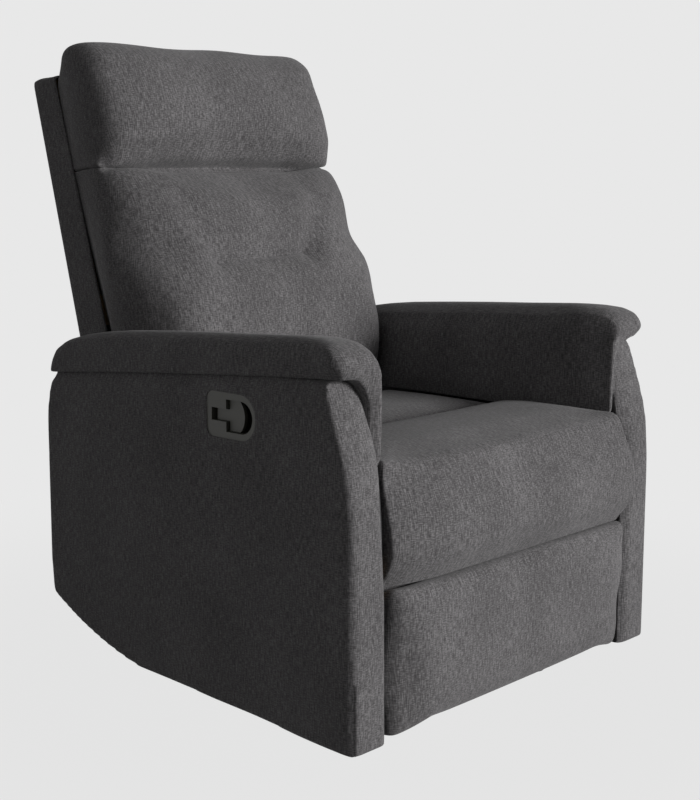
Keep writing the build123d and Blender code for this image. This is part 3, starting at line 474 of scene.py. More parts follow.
# ---------------------------------------------------------------- finishes
@dataclass(frozen=True)
class LinenWeave:
    """Heathered linen-look polyester, woven flat from uneven yarns and left matt.

    The eye sees a dark charcoal ground with paler upright slubs and fine crosswise threads, no gloss,
    and a faint pale bloom where the cloth turns away.
    """

    name: str = "charcoal_linen_weave"
    ground: str = "#403e3f"
    thread: str = "#5c5a5b"
    fleck: str = "#807e7f"
    slub_width: float = 1.7          # mm; real yarns are 0.5 mm, drawn coarser so that they show
    slub_length: float = 15.0        # mm
    weft_width: float = 1.5          # mm; drawn coarser than the real 0.5 mm for the same reason
    weft_length: float = 7.0         # mm
    relief: float = 0.4              # mm, height of a slub over the ground

    def build(self) -> bpy.types.Material:
        """Build the material.

        Returns:
            The cloth, which follows each piece's own "weave" map.
        """
        cloth, tree, shader = new_material(self.name)
        weave = add_node(tree, "ShaderNodeUVMap", uv_map="weave")
        warp_place, weft_place, cloud_place = (
            add_node(tree, "ShaderNodeMapping", {"Vector": weave.outputs[0], "Scale": scale})
            for scale in ((1 / (self.slub_width * MM), 1 / (self.slub_length * MM), 1.0),
                          (1 / (self.weft_length * MM), 1 / (self.weft_width * MM), 1.0), (9.0, 6.0, 1.0)))
        warp, weft = (
            add_node(tree, "ShaderNodeTexNoise", {"Vector": yarn.outputs[0], "Scale": 1.0, "Detail": 2.0,
                                                  "Roughness": 0.6}, noise_dimensions="2D")
            for yarn in (warp_place, weft_place))
        cloud = add_node(tree, "ShaderNodeTexNoise", {"Vector": cloud_place.outputs[0], "Scale": 1.0,
                                                      "Detail": 3.0}, noise_dimensions="2D")
        mixed = add_node(tree, "ShaderNodeMix", {"Factor": 0.5, "A": warp.outputs["Fac"],
                                                 "B": weft.outputs["Fac"]}, data_type="FLOAT")
        clouded = add_node(tree, "ShaderNodeMath", {0: cloud.outputs["Fac"], 1: 0.14, 2: -0.07},
                           operation="MULTIPLY_ADD")
        level = add_node(tree, "ShaderNodeMath", {0: mixed.outputs[0], 1: clouded.outputs[0]},
                         operation="ADD")
        tint = add_node(tree, "ShaderNodeValToRGB", {"Fac": level.outputs[0]})
        stops = tint.color_ramp.elements
        stops[0].position, stops[0].color = 0.36, linear(self.ground)
        stops[1].position, stops[1].color = 0.50, linear(self.thread)
        fleck = stops.new(0.68)
        fleck.color = linear(self.fleck)
        bump = add_node(tree, "ShaderNodeBump", {"Height": level.outputs[0], "Strength": 0.7,
                                                 "Distance": self.relief * MM})
        plug(tree, shader, {"Base Color": tint.outputs[0], "Normal": bump.outputs[0], "Roughness": 0.92,
                            "Specular IOR Level": 0.25, "Sheen Weight": 0.12, "Sheen Roughness": 0.6})
        return cloth


@dataclass(frozen=True)
class MetalFinish:
    """A metal surface: painted, plated or bare, with the faint cloudiness of its finish."""

    name: str
    pale: str
    dark: str
    metallic: float
    roughness: float
    cloud: float                     # mm, size of the patches
    grain: float                     # mm, size of the fine texture
    relief: float                    # mm, height of the fine texture

    def build(self) -> bpy.types.Material:
        """Build the material.

        Returns:
            The finish, in object coordinates.
        """
        metal, tree, shader = new_material(self.name)
        place = add_node(tree, "ShaderNodeTexCoord")
        patches = add_node(tree, "ShaderNodeTexNoise", {"Vector": place.outputs["Object"],
                                                        "Scale": 1 / (self.cloud * MM), "Detail": 4.0})
        grain = add_node(tree, "ShaderNodeTexNoise", {"Vector": place.outputs["Object"],
                                                      "Scale": 1 / (self.grain * MM), "Detail": 2.0})
        tint = add_node(tree, "ShaderNodeMix", {"Factor": patches.outputs["Fac"], "A": linear(self.dark),
                                                "B": linear(self.pale)}, data_type="RGBA")
        rough = add_node(tree, "ShaderNodeMapRange", {"Value": patches.outputs["Fac"],
                                                      "To Min": self.roughness - 0.06,
                                                      "To Max": self.roughness + 0.08})
        bump = add_node(tree, "ShaderNodeBump", {"Height": grain.outputs["Fac"], "Strength": 0.5,
                                                 "Distance": self.relief * MM})
        plug(tree, shader, {"Base Color": tint.outputs["Result"], "Normal": bump.outputs[0],
                            "Roughness": rough.outputs[0], "Metallic": self.metallic})
        return metal


class Along(Enum):
    """Axis that a board's grain runs along, or that plywood is laid up through."""

    X = 0
    Y = 1
    Z = 2


@dataclass(frozen=True)
class WoodFinish:
    """Planed softwood or plywood, unfinished: pale, matt, with darker late wood."""

    name: str
    pale: str
    dark: str
    grain: Along                     # the grain runs along this axis
    ring: float                      # mm between the dark lines
    plies: Optional[Along] = None    # plywood: axis through its thickness
    ply: float = 2.4                 # mm, thickness of one ply

    def build(self) -> bpy.types.Material:
        """Build the material.

        Returns:
            The wood, in object coordinates.
        """
        wood, tree, shader = new_material(self.name)
        place = add_node(tree, "ShaderNodeTexCoord")
        scale = [1 / (self.ring * MM)] * 3
        scale[self.grain.value] /= 16
        stretch = add_node(tree, "ShaderNodeMapping", {"Vector": place.outputs["Object"], "Scale": scale})
        figure = add_node(tree, "ShaderNodeTexNoise", {"Vector": stretch.outputs[0], "Scale": 1.0,
                                                       "Detail": 5.0, "Distortion": 0.6})
        level = figure.outputs["Fac"]
        if self.plies is not None:
            axes = add_node(tree, "ShaderNodeSeparateXYZ", {0: place.outputs["Object"]})
            sheet = add_node(tree, "ShaderNodeMath", {0: axes.outputs[self.plies.value],
                                                      1: math.pi / (self.ply * MM)}, operation="MULTIPLY")
            wave = add_node(tree, "ShaderNodeMath", {0: sheet.outputs[0]}, operation="SINE")
            level = add_node(tree, "ShaderNodeMath", {0: wave.outputs[0], 1: 0.22, 2: level},
                             operation="MULTIPLY_ADD").outputs[0]
        tint = add_node(tree, "ShaderNodeValToRGB", {"Fac": level})
        stops = tint.color_ramp.elements
        stops[0].position, stops[0].color = 0.30, linear(self.dark)
        stops[1].position, stops[1].color = 0.62, linear(self.pale)
        bump = add_node(tree, "ShaderNodeBump", {"Height": figure.outputs["Fac"], "Strength": 0.4,
                                                 "Distance": 0.2 * MM})
        plug(tree, shader, {"Base Color": tint.outputs[0], "Normal": bump.outputs[0], "Roughness": 0.72})
        return wood


@dataclass(frozen=True)
class MouldedPlastic:
    """Injection-moulded plastic with a fine spark-eroded texture: dark, satin, faintly mottled."""

    name: str
    body: str
    worn: str
    roughness: float
    texture: float = 0.9             # mm between the peaks of the mould texture
    relief: float = 0.06             # mm

    def build(self) -> bpy.types.Material:
        """Build the material.

        Returns:
            The plastic, in object coordinates.
        """
        plastic, tree, shader = new_material(self.name)
        place = add_node(tree, "ShaderNodeTexCoord")
        speckle = add_node(tree, "ShaderNodeTexVoronoi", {"Vector": place.outputs["Object"],
                                                          "Scale": 1 / (self.texture * MM)})
        patches = add_node(tree, "ShaderNodeTexNoise", {"Vector": place.outputs["Object"], "Scale": 60.0,
                                                        "Detail": 3.0})
        tint = add_node(tree, "ShaderNodeMix", {"Factor": patches.outputs["Fac"], "A": linear(self.body),
                                                "B": linear(self.worn)}, data_type="RGBA")
        bump = add_node(tree, "ShaderNodeBump", {"Height": speckle.outputs["Distance"], "Strength": 0.4,
                                                 "Distance": self.relief * MM})
        plug(tree, shader, {"Base Color": tint.outputs["Result"], "Normal": bump.outputs[0],
                            "Roughness": self.roughness, "IOR": 1.52})
        return plastic


@dataclass(frozen=True)
class ElasticWebbing:
    """Black elastic webbing, woven with rubber warp: ribs along the band and pale guide lines."""

    name: str = "elastic_webbing"
    ground: str = "#1d1d1f"
    line: str = "#5a5a5c"
    rib: float = 3.0                 # mm between ribs

    def build(self) -> bpy.types.Material:
        """Build the material.

        Returns:
            The webbing, ribbed along X in object coordinates.
        """
        band, tree, shader = new_material(self.name)
        place = add_node(tree, "ShaderNodeTexCoord")
        axes = add_node(tree, "ShaderNodeSeparateXYZ", {0: place.outputs["Object"]})
        turns = add_node(tree, "ShaderNodeMath", {0: axes.outputs["Z"], 1: math.tau / (self.rib * MM)},
                         operation="MULTIPLY")
        ribs = add_node(tree, "ShaderNodeMath", {0: turns.outputs[0]}, operation="SINE")
        weft = add_node(tree, "ShaderNodeTexNoise", {"Vector": place.outputs["Object"], "Scale": 700.0})
        level = add_node(tree, "ShaderNodeMath", {0: ribs.outputs[0], 1: 0.25, 2: weft.outputs["Fac"]},
                         operation="MULTIPLY_ADD")
        tint = add_node(tree, "ShaderNodeValToRGB", {"Fac": level.outputs[0]})
        stops = tint.color_ramp.elements
        stops[0].position, stops[0].color = 0.4, linear(self.ground)
        stops[1].position, stops[1].color = 0.95, linear(self.line)
        bump = add_node(tree, "ShaderNodeBump", {"Height": level.outputs[0], "Strength": 0.6,
                                                 "Distance": 0.4 * MM})
        plug(tree, shader, {"Base Color": tint.outputs[0], "Normal": bump.outputs[0], "Roughness": 0.85})
        return band


@dataclass
class Finishes:
    """Every finish of the chair, built once and shared by its pieces."""

    fabric: bpy.types.Material = field(default_factory=lambda: LinenWeave().build())
    enamel: bpy.types.Material = field(default_factory=lambda: MetalFinish(
        "black_satin_enamel_on_steel", "#2b2b2d", "#202022", 0.0, 0.38, 40.0, 2.2, 0.05).build())
    zinc: bpy.types.Material = field(default_factory=lambda: MetalFinish(
        "bright_zinc_plating", "#c9ccd0", "#a4a9b0", 1.0, 0.34, 6.0, 0.7, 0.02).build())
    wire: bpy.types.Material = field(default_factory=lambda: MetalFinish(
        "oiled_spring_wire", "#77787b", "#4b4b4e", 1.0, 0.42, 9.0, 1.0, 0.03).build())
    softwood: bpy.types.Material = field(default_factory=lambda: WoodFinish(
        "planed_poplar", "#cfb083", "#a98657", Along.X, 7.0).build())
    upright_wood: bpy.types.Material = field(default_factory=lambda: WoodFinish(
        "planed_poplar_upright", "#cfb083", "#a98657", Along.Z, 7.0).build())
    side_plywood: bpy.types.Material = field(default_factory=lambda: WoodFinish(
        "poplar_plywood_side", "#d3b88c", "#a88659", Along.Y, 9.0, Along.X).build())
    board_plywood: bpy.types.Material = field(default_factory=lambda: WoodFinish(
        "poplar_plywood_board", "#d3b88c", "#a88659", Along.X, 9.0, Along.Y).build())
    cup_plastic: bpy.types.Material = field(default_factory=lambda: MouldedPlastic(
        "moulded_abs_olive_black", "#20201b", "#282822", 0.5).build())
    glide_plastic: bpy.types.Material = field(default_factory=lambda: MouldedPlastic(
        "moulded_polyethylene_black", "#161617", "#222223", 0.55).build())
    webbing: bpy.types.Material = field(default_factory=lambda: ElasticWebbing().build())
    lining: bpy.types.Material = field(default_factory=lambda: ElasticWebbing(
        name="black_lining_cloth", ground="#1f1e1f", line="#2e2d2e", rib=1.4).build())


# ---------------------------------------------------------------- padded upholstery
@dataclass
class Padding:
    """How a padded piece swells in its cover."""

    voxel: float = 6.0               # mm, mesh of the cover
    pressure: float = 4.0            # push of the filling on the cover
    cap: float = 24.0                # mm that a point of the cover may move
    rounding: int = 6                # smoothing passes over the cut corners
    fill: float = 0.7                # how tightly it is stuffed
    refine: int = 1                  # subdivisions after the swelling
    stiffness: float = 3.0           # of the cover against creasing
    tension: float = 12.0            # of the cover against stretching
    mass: float = 0.3                # kg of each point of the cover
    quality: int = 4                 # steps of the simulation in each frame
    ease: int = 24                   # rounds that spread the swelling evenly


class PaddedPiece:
    """A cushion or pad: a skin over its CAD solid that swells with its filling, then is sewn into shape."""

    def __init__(self, node: str, name: str, padding: Padding, place: Optional[Matrix] = None,
                 block: Optional[Object] = None) -> None:
        """Take the CAD solid, or a block cut for the piece, as the start of its skin.

        Args:
            node: CAD node that the piece stands for.
            name: name of the piece.
            padding: how it swells.
            place: turn from the piece's own upright frame to the chair's, where it has one.
            block: closed mesh to start from, in place of a copy of the CAD solid.
        """
        self.node = node
        self.padding = padding
        self.place = place or Matrix.Identity(4)
        self.piece = block or copy_of_node(node, name)
        self.piece.name = self.piece.data.name = name
        self.piece.data.transform(self.place.inverted())
        self.rest: Optional[Points] = None

    def skin(self, shape: Callable[[Points], Points]) -> "PaddedPiece":
        """Make the skin, round its corners and draw it in to the cover's cut shape.

        Args:
            shape: function from the skin's points to the points of the unstuffed cover.

        Returns:
            The piece itself.
        """
        voxel_skin(self.piece, self.padding.voxel * MM)
        write_points(self.piece, shape(read_points(self.piece)))
        apply_modifier(self.piece, "SMOOTH", factor=0.5, iterations=self.padding.rounding)
        return self

    def swell(self, held: Callable[[Points], Points]) -> "PaddedPiece":
        """Give the skin its Cloth modifier, which Swelling then runs.

        Args:
            held: function from the points to how firmly each is held, 0 to 1.

        Returns:
            The piece itself.
        """
        points = read_points(self.piece)
        self.rest = points.copy()
        group = self.piece.vertex_groups.new(name="held")
        firmness = held(points)
        for index in np.nonzero(firmness > 0.02)[0]:
            group.add([int(index)], float(firmness[index]), "REPLACE")
        cloth = self.piece.modifiers.new("swell", "CLOTH")
        cloth.settings.quality = self.padding.quality
        cloth.settings.mass = self.padding.mass
        cloth.settings.tension_stiffness = self.padding.tension
        cloth.settings.compression_stiffness = self.padding.tension
        cloth.settings.bending_stiffness = self.padding.stiffness
        cloth.settings.use_pressure = True
        cloth.settings.uniform_pressure_force = self.padding.pressure
        cloth.settings.vertex_group_mass = "held"
        cloth.settings.effector_weights.gravity = 0
        cloth.collision_settings.use_collision = False
        cloth.collision_settings.use_self_collision = False
        return self

    def stuff(self) -> None:
        """Keep the swollen shape, no further from the cut shape than the cap."""
        activate(self.piece)
        bpy.ops.object.modifier_apply(modifier="swell")
        moved = read_points(self.piece) - self.rest
        length = np.linalg.norm(moved, axis=1, keepdims=True)
        cap = self.padding.cap * MM
        soft = cap * np.tanh(length / cap) / np.maximum(length, 1e-9)
        write_points(self.piece, self.rest + even_out(self.piece, moved * soft, self.padding.ease))

    def sew(self, shape: Optional[Callable[[Points], Points]] = None) -> "PaddedPiece":
        """Draw seams, creases and channels into the stuffed cover, at its finer mesh.

        Args:
            shape: function from the stuffed points to the sewn ones, where there is sewing.

        Returns:
            The piece itself.
        """
        finer = self.padding.refine
        apply_modifier(self.piece, "SUBSURF", levels=finer, render_levels=finer)
        if shape is not None:
            write_points(self.piece, shape(read_points(self.piece)))
        return self

    def finish(self, fabric: bpy.types.Material) -> Object:
        """Upholster the piece.

        Args:
            fabric: the cloth.

        Returns:
            The finished piece.
        """
        upholster(self.piece, fabric, self.node, self.place)
        return self.piece


def lay_weave(piece: Object) -> None:
    """Lay the cloth's threads on each panel: upright on its front and sides, front to back on its top.

    Args:
        piece: mesh object in its own upright frame. It gets a "weave" map, in metres.
    """
    mesh = piece.data
    count = len(mesh.loops)
    points = read_points(piece)
    corner = np.empty(count, np.int64)
    mesh.loops.foreach_get("vertex_index", corner)
    normals = np.empty(len(mesh.polygons) * 3, np.float64)
    mesh.polygons.foreach_get("normal", normals)
    totals = np.empty(len(mesh.polygons), np.int64)
    mesh.polygons.foreach_get("loop_total", totals)
    facing = np.repeat(np.abs(normals.reshape(-1, 3)) * np.array(PANEL_BIAS), totals, axis=0).argmax(axis=1)
    place = points[corner]
    across = np.where(facing == X, place[:, Y] + SIDE_SHIFT, place[:, X])
    along = np.where(facing == Z, place[:, Y] + TOP_SHIFT, place[:, Z])
    weave = mesh.uv_layers.new(name="weave")
    weave.data.foreach_set("uv", np.stack([across, along], axis=1).astype(np.float32).ravel())


class Swelling:
    """Runs the filling's push on every cover at once."""

    frames: int = 20

    def __init__(self) -> None:
        """Start with no covers."""
        self.covers: list[PaddedPiece] = []

    def add(self, cover: PaddedPiece) -> PaddedPiece:
        """Take one cover into the run.

        Args:
            cover: piece whose skin is held and ready.

        Returns:
            The same piece.
        """
        self.covers.append(cover)
        return cover

    def run(self) -> None:
        """Step the simulation to its last frame and keep the result."""
        scene = bpy.context.scene
        for step in range(1, self.frames + 1):
            scene.frame_set(step)
        for cover in self.covers:
            cover.stuff()
        scene.frame_set(1)
        log.info("swelled %d covers", len(self.covers))


def profile(at: Points, knots: Sequence[tuple[float, float]]) -> Points:
    """Smooth line through knots.

    Args:
        at: where to read the line, in metres.
        knots: place and value pairs in mm, by rising place.

    Returns:
        The line's values, in metres.
    """
    xs = np.array([k[0] for k in knots]) * MM
    ys = np.array([k[1] for k in knots]) * MM
    slopes = np.gradient(ys, xs)
    at = np.clip(at, xs[0], xs[-1])
    i = np.clip(np.searchsorted(xs, at, side="right") - 1, 0, len(xs) - 2)
    h = xs[i + 1] - xs[i]
    t = (at - xs[i]) / h
    return ((2 * t ** 3 - 3 * t ** 2 + 1) * ys[i] + (t ** 3 - 2 * t ** 2 + t) * h * slopes[i]
            + (3 * t ** 2 - 2 * t ** 3) * ys[i + 1] + (t ** 3 - t ** 2) * h * slopes[i + 1])


def groove(points: Points, start: Points, end: Points, width: float) -> Points:
    """How close points lie to a straight sewn line, seen from the front.

    Args:
        points: the cover's points.
        start: first end of the line, as x and z in mm.
        end: second end of the line, in mm.
        width: half width of the groove, in mm.

    Returns:
        1 on the line, fading to 0 beside it and past its ends.
    """
    flat = points[:, (X, Z)] / MM
    run = end - start
    t = np.clip(((flat - start) @ run) / (run @ run), 0, 1)
    return bell(np.linalg.norm(flat - (start + t[:, None] * run), axis=1), width)


# ---------------------------------------------------------------- back
@dataclass
class BackUpholstery:
    """Back cushions and rear cover, worked upright about the hinge and leant back into place."""

    fabric: bpy.types.Material
    lean: float = 14.8               # degrees from upright
    half: float = 255.0              # half width of the cushions
    rear: float = 33.7               # rear face of the cushions, behind the hinge
    seam: float = 457.0              # height of the seam between head and lumbar cushion
    line: float = 470.0              # height of that seam on the finished cushions, at their front
    slit: float = 2.2                # how far each cushion keeps from it
    crease: float = 290.0            # height of the short tuck across the lumbar cushion
    crease_ends: tuple[float, float] = (-132.0, 80.0)
    board: tuple[float, float, float] = (250.0, 324.0, 344.0)   # rear cover: half width, middle, half height
    wrap: float = 60.0               # depth from which the rear cover is drawn forwards round the cushions
    stretch: float = 2.4             # how much deeper that makes its sides
    edge: tuple[tuple[float, float], ...] = (      # height, and front of the cushions along their corners
        (31, -118), (70, -138), (101, -153), (147, -165), (195, -168), (254, -159), (316, -141), (377, -129),
        (440, -112), (457, -106), (470, -108), (498, -116), (554, -122), (616, -114), (648, -103), (690, -66))
    solid: tuple[tuple[float, float], ...] = (     # height, and front of the CAD cushions
        (31, -130), (92, -160), (180, -174), (258, -164), (360, -144), (417, -122), (457, -116), (547, -130),
        (626, -116), (686, -66))

    def place(self) -> Matrix:
        """Place of the upright back in the chair, at its hinge."""
        hinge = next(j for j in frame["joints"] if j["name"] == "back_recline")["pos_m"]
        return Matrix.Translation(Vector(hinge)) @ Matrix.Rotation(math.radians(-self.lean), 4, "X")

    def cover(self, p: Points) -> Points:
        """Cut of the unstuffed cushion: its front on the corner line, its sides drawn in."""
        rear = self.rear * MM
        depth = (rear - p[:, Y]) / (rear - profile(p[:, Z], self.solid))
        front = profile(p[:, Z], self.edge) - (5 + 11 * (1 - rise(p, Z, 380, 470))) * MM
        out = p.copy()
        edge = np.clip((np.abs(p[:, X]) - 178 * MM) / (77 * MM), 0, 1)
        low = 1 - rise(p, Z, 60, 420)
        front += edge ** 3 * (28 + 16 * low) * MM
        out[:, Y] = rear - np.clip(depth, 0, 1.05) * (rear - front)
        clear = 0.4 + 0.6 * rise(p, Z, 180, 300)
        head = rise(p, Z, 430, 490)
        full = (15 - 7 * head) * clear * ramp(depth, 0.2, 0.75) + 3
        full += hump(p, Z, 275, 60) * 5 * (p[:, X] > 0)
        tucked = rise(p, Y, self.rear - 60, self.rear) * (27 - 19 * rise(p, Z, 150, 480))
        out[:, X] += np.sign(p[:, X]) * rise(np.abs(p), X, 150, self.half) * (full - tucked) * MM
        out[:, Z] += (rise(p, Z, 540, 686) * 4 + hump(p, Z, self.seam, 70) * 13) * MM
        side = rise(np.abs(p), X, 215, self.half)
        out[:, Z] += side * (1 - np.clip(depth, 0, 1)) * hump(p, Z, self.seam, 70) * 24 * MM
        return out

    def held(self, p: Points) -> Points:
        """Where the cushion is held: flat on its rear face, and along the seam between the two."""
        rear = rise(p, Y, self.rear - 26, self.rear - 6)
        seam = hump(p, Z, self.seam, 7) * rise(p, Y, -100, -60) * 0.9
        return np.maximum(rear, seam)

    def sew_lumbar(self, p: Points) -> Points:
        """Tuck the lumbar cushion: a short crease with a valley running up from each end."""
        left, right = self.crease_ends
        out = self.tighten(p, -1)
        face = rise(-p, Y, 60, 100)
        lines = (                    # start, end, half width and depth, heights from the crease
            ((left, -8), (right, 2), 6, 7), ((left, -8), (right, 2), 30, 10),
            ((left - 4, 0), (left - 36, 104), 24, 7), ((right + 4, 8), (right + 62, 104), 26, 8),
            ((right + 2, 8), (right + 30, 40), 18, 3))
        crease = np.array((0, self.crease))
        tuck = sum(groove(p, crease + start, crease + end, width) * depth
                   for start, end, width, depth in lines)
        out[:, Y] += tuck * MM * face
        return out

    def tighten(self, p: Points, above: int) -> Points:
        """Draw a cushion in along the seam, most at mid-width, and leave a narrow slit between the two.

        Args:
            p: points in metres.
            above: +1 for the pillow above the seam, -1 for the cushion below it.

        Returns:
            The moved points.
        """
        out = p.copy()
        least = np.where(p[:, X] > 0, 0.3 - 0.2 * above, 0.45)
        across = least + (1 - least) * (1 - rise(np.abs(p), X, 120, 235))
        front = rise(-p, Y, 60, 90)
        line = p[:, Z] - self.line * MM
        broad, narrow = (9, 6) if above > 0 else (20, 8)
        out[:, Y] += (bell(line, 12 * MM) * broad + bell(line, 5 * MM) * narrow) * across * MM * front
        out[:, Z] += above * bell(line, 8 * MM) * self.slit * across * MM * front
        side = rise(np.abs(p), X, 222, 246) * (1 - front)
        slope = self.line + 24 * np.clip((p[:, Y] / MM + 110) / 144, 0, 1)
        out[:, X] += np.sign(p[:, X]) * hump(p, Z, slope, 6) * side * 3.5 * MM
        return out

    def sew_head(self, p: Points) -> Points:
        """Sew the head pillow: underside rolled in, one edge fuller low down, top gently wavy."""
        out = self.tighten(p, 1)
        rolled = hump(p, Z, self.line, 38) * (1 - 0.8 * rise(p, X, 120, 235))
        out[:, Y] += rolled * 12 * MM * rise(-p, Y, 60, 90)
        out[:, X] += hump(p, Z, self.line + 42, 50) * rise(p, X, 180, 240) * 5 * MM
        top = rise(p, Z, 600, 680)
        out[:, Z] += top * (1.3 * np.sin(p[:, X] / 0.052 + 0.7) + 1.0 * np.sin(p[:, X] / 0.031)) * MM
        return out

    def shell(self) -> Object:
        """Rear cover: a padded board with soft corners, open towards the cushions."""
        piece = copy_of_node("back_shell", "back_rear_cover")
        piece.data.transform(self.place().inverted())
        hull_skin(piece)
        apply_modifier(piece, "SMOOTH", factor=0.5, iterations=5)
        p = read_points(piece)
        half, middle, reach = self.board
        swell = crown(p[:, X] / MM / half, (p[:, Z] / MM - middle) / reach)
        p[:, Y] += np.where(p[:, Y] > 70 * MM, 7 * MM * swell, 0)
        edge = self.wrap * MM
        p[:, Y] = np.where(p[:, Y] < edge, edge - (edge - p[:, Y]) * self.stretch, p[:, Y])
        p[:, X] *= 1 + 6 / half
        p[:, Y] += rise(p, Y, self.wrap, self.wrap + 30) * 3 * MM
        p[:, Z] += rise(p, Z, 600, 660) * (3 - 10 * rise(-p, Y, -85, -22)) * MM
        write_points(piece, p)
        open_side(piece, (0, 22 * MM, 480 * MM), (0, -1, 16 / 480))
        upholster(piece, self.fabric, "back_shell", self.place())
        return piece

    def start(self, swelling: Swelling) -> None:
        """Cut the two cushions and hand them to the swelling.

        Args:
            swelling: the shared simulation.
        """
        padding = Padding(cap=24, rounding=10, fill=0.75)
        self.lumbar, self.head = (
            swelling.add(PaddedPiece(node, name, padding, self.place()).skin(self.cover).swell(self.held))
            for node, name in (("back_cushion", "lumbar_cushion"), ("head_cushion", "head_pillow")))

    def complete(self) -> None:
        """Sew and dress the cushions and make the rear cover."""
        self.lumbar.sew(self.sew_lumbar).finish(self.fabric)
        self.head.sew(self.sew_head).finish(self.fabric)
        self.shell()


def open_side(piece: Object, point: tuple[float, float, float], outward: tuple[float, float, float]) -> None:
    """Cut one side off a closed skin and give what is left a wall, kept inside the skin.

    Args:
        piece: closed mesh object.
        point: point on the cut, in metres.
        outward: direction of the side that goes.
    """
    activate(piece)
    bpy.ops.object.mode_set(mode="EDIT")
    bpy.ops.mesh.select_mode(type="VERT")
    bpy.ops.mesh.select_all(action="SELECT")
    bpy.ops.mesh.bisect(plane_co=point, plane_no=outward, use_fill=False, clear_outer=True)
    bpy.ops.object.mode_set(mode="OBJECT")
    apply_modifier(piece, "SOLIDIFY", thickness=COVER_WALL * MM, offset=-1.0, use_even_offset=False)


# ---------------------------------------------------------------- seat
@dataclass
class SeatUpholstery:
    """Seat panel and the front roll that stands above it at their seam."""

    fabric: bpy.types.Material
    half: float = 289.0              # half width of the seat
    seam: float = -165.0             # place of the seam between panel and roll
    deck: float = 326.0              # the springs' top, which the foam rests on

    def cut_panel(self, p: Points) -> Points:
        """Cut of the seat panel: its sides drawn in a little."""
        out = p.copy()
        out[:, X] *= 1 - 2 / self.half
        out[:, Z] -= rise(p, Z, 400, 450) * 2 * MM
        return out

    def hold_panel(self, p: Points) -> Points:
        """The panel rests on its springs and is held at the seam."""
        under = 1 - rise(p, Z, self.deck, self.deck + 30)
        seam = (1 - rise(p, Y, self.seam + 2, self.seam + 12)) * 0.9
        sides = rise(np.abs(p), X, 276, 284) * (1 - rise(p, Z, 400, 436)) * 0.9
        return np.maximum(np.maximum(under, seam), sides)

    def cut_roll(self, p: Points) -> Points:
        """Cut of the front roll: its front and sides drawn in."""
        out = p.copy()
        out[:, X] *= 1 - 2 / self.half
        out[:, Y] += rise(-p, Y, 400, 456) * 8 * MM
        out[:, Z] -= rise(p, Z, 400, 450) * 2 * MM
        return out

    def hold_roll(self, p: Points) -> Points:
        """The roll rests on springs and rail, and is held at the seam, at its hem and at its sides."""
        under = (1 - rise(p, Z, self.deck, self.deck + 24)) * rise(p, Y, -388, -370)
        behind = rise(p, Y, -402, -394) * (1 - rise(p, Z, 318, 332))
        hem = 1 - rise(p, Z, 262, 276)
        seam = rise(p, Y, self.seam - 12, self.seam - 2) * (1 - rise(p, Z, 425, 445))
        sides = rise(np.abs(p), X, 276, 284) * (1 - rise(p, Z, 400, 436)) * 0.8
        return np.max([under, behind, hem, seam, sides], axis=0)

    def start(self, swelling: Swelling) -> None:
        """Cut the panel and the roll and hand them to the swelling.

        Args:
            swelling: the shared simulation.
        """
        self.panel = swelling.add(
            PaddedPiece("seat_cushion", "seat_panel", Padding(cap=14, rounding=4, fill=0.8))
            .skin(self.cut_panel).swell(self.hold_panel))
        self.roll = swelling.add(
            PaddedPiece("seat_front_roll", "seat_roll", Padding(cap=12, rounding=3, fill=0.8))
            .skin(self.cut_roll).swell(self.hold_roll))

    def complete(self) -> None:
        """Sew and dress both pieces."""
        self.panel.sew().finish(self.fabric)
        self.roll.sew(self.sew_roll).finish(self.fabric)

    def sew_roll(self, p: Points) -> Points:
        """Sew the roll: a tight crown, ends that fill the room up to the arms, and a hem drawn up."""
        out = p.copy()
        side = rise(np.abs(p), X, 200, 286) * rise(p, Z, 300, 390)
        out[:, X] += np.sign(p[:, X]) * side * 4 * MM
        crown = bell(np.hypot(p[:, Y] + 420 * MM, p[:, Z] - 447 * MM), 30 * MM) * 12 * MM
        out[:, Y] -= crown * 0.55
        out[:, Z] += crown * 0.83
        out[:, Z] += (1 - rise(p, Z, 262, 340)) * 17 * MM * rise(-p, Y, 385, 410)
        near = np.clip((-p[:, X] / MM - 165) / 125, 0, 1.1)
        out[:, Y] += near ** 2 * 27 * MM * rise(-p, Y, 390, 430)
        out[:, X] += rise(-p, X, 240, 286) * rise(-p, Y, 380, 410) * 4 * MM
        ahead = rise(-p, Y, 426, 446) * rise(p, X, 215, 286)
        out[:, X] += ahead * 11 * MM
        return out


# ---------------------------------------------------------------- arms
class Side(Enum):
    """Side of the chair, from the sitter."""

    LEFT = 1
    RIGHT = -1


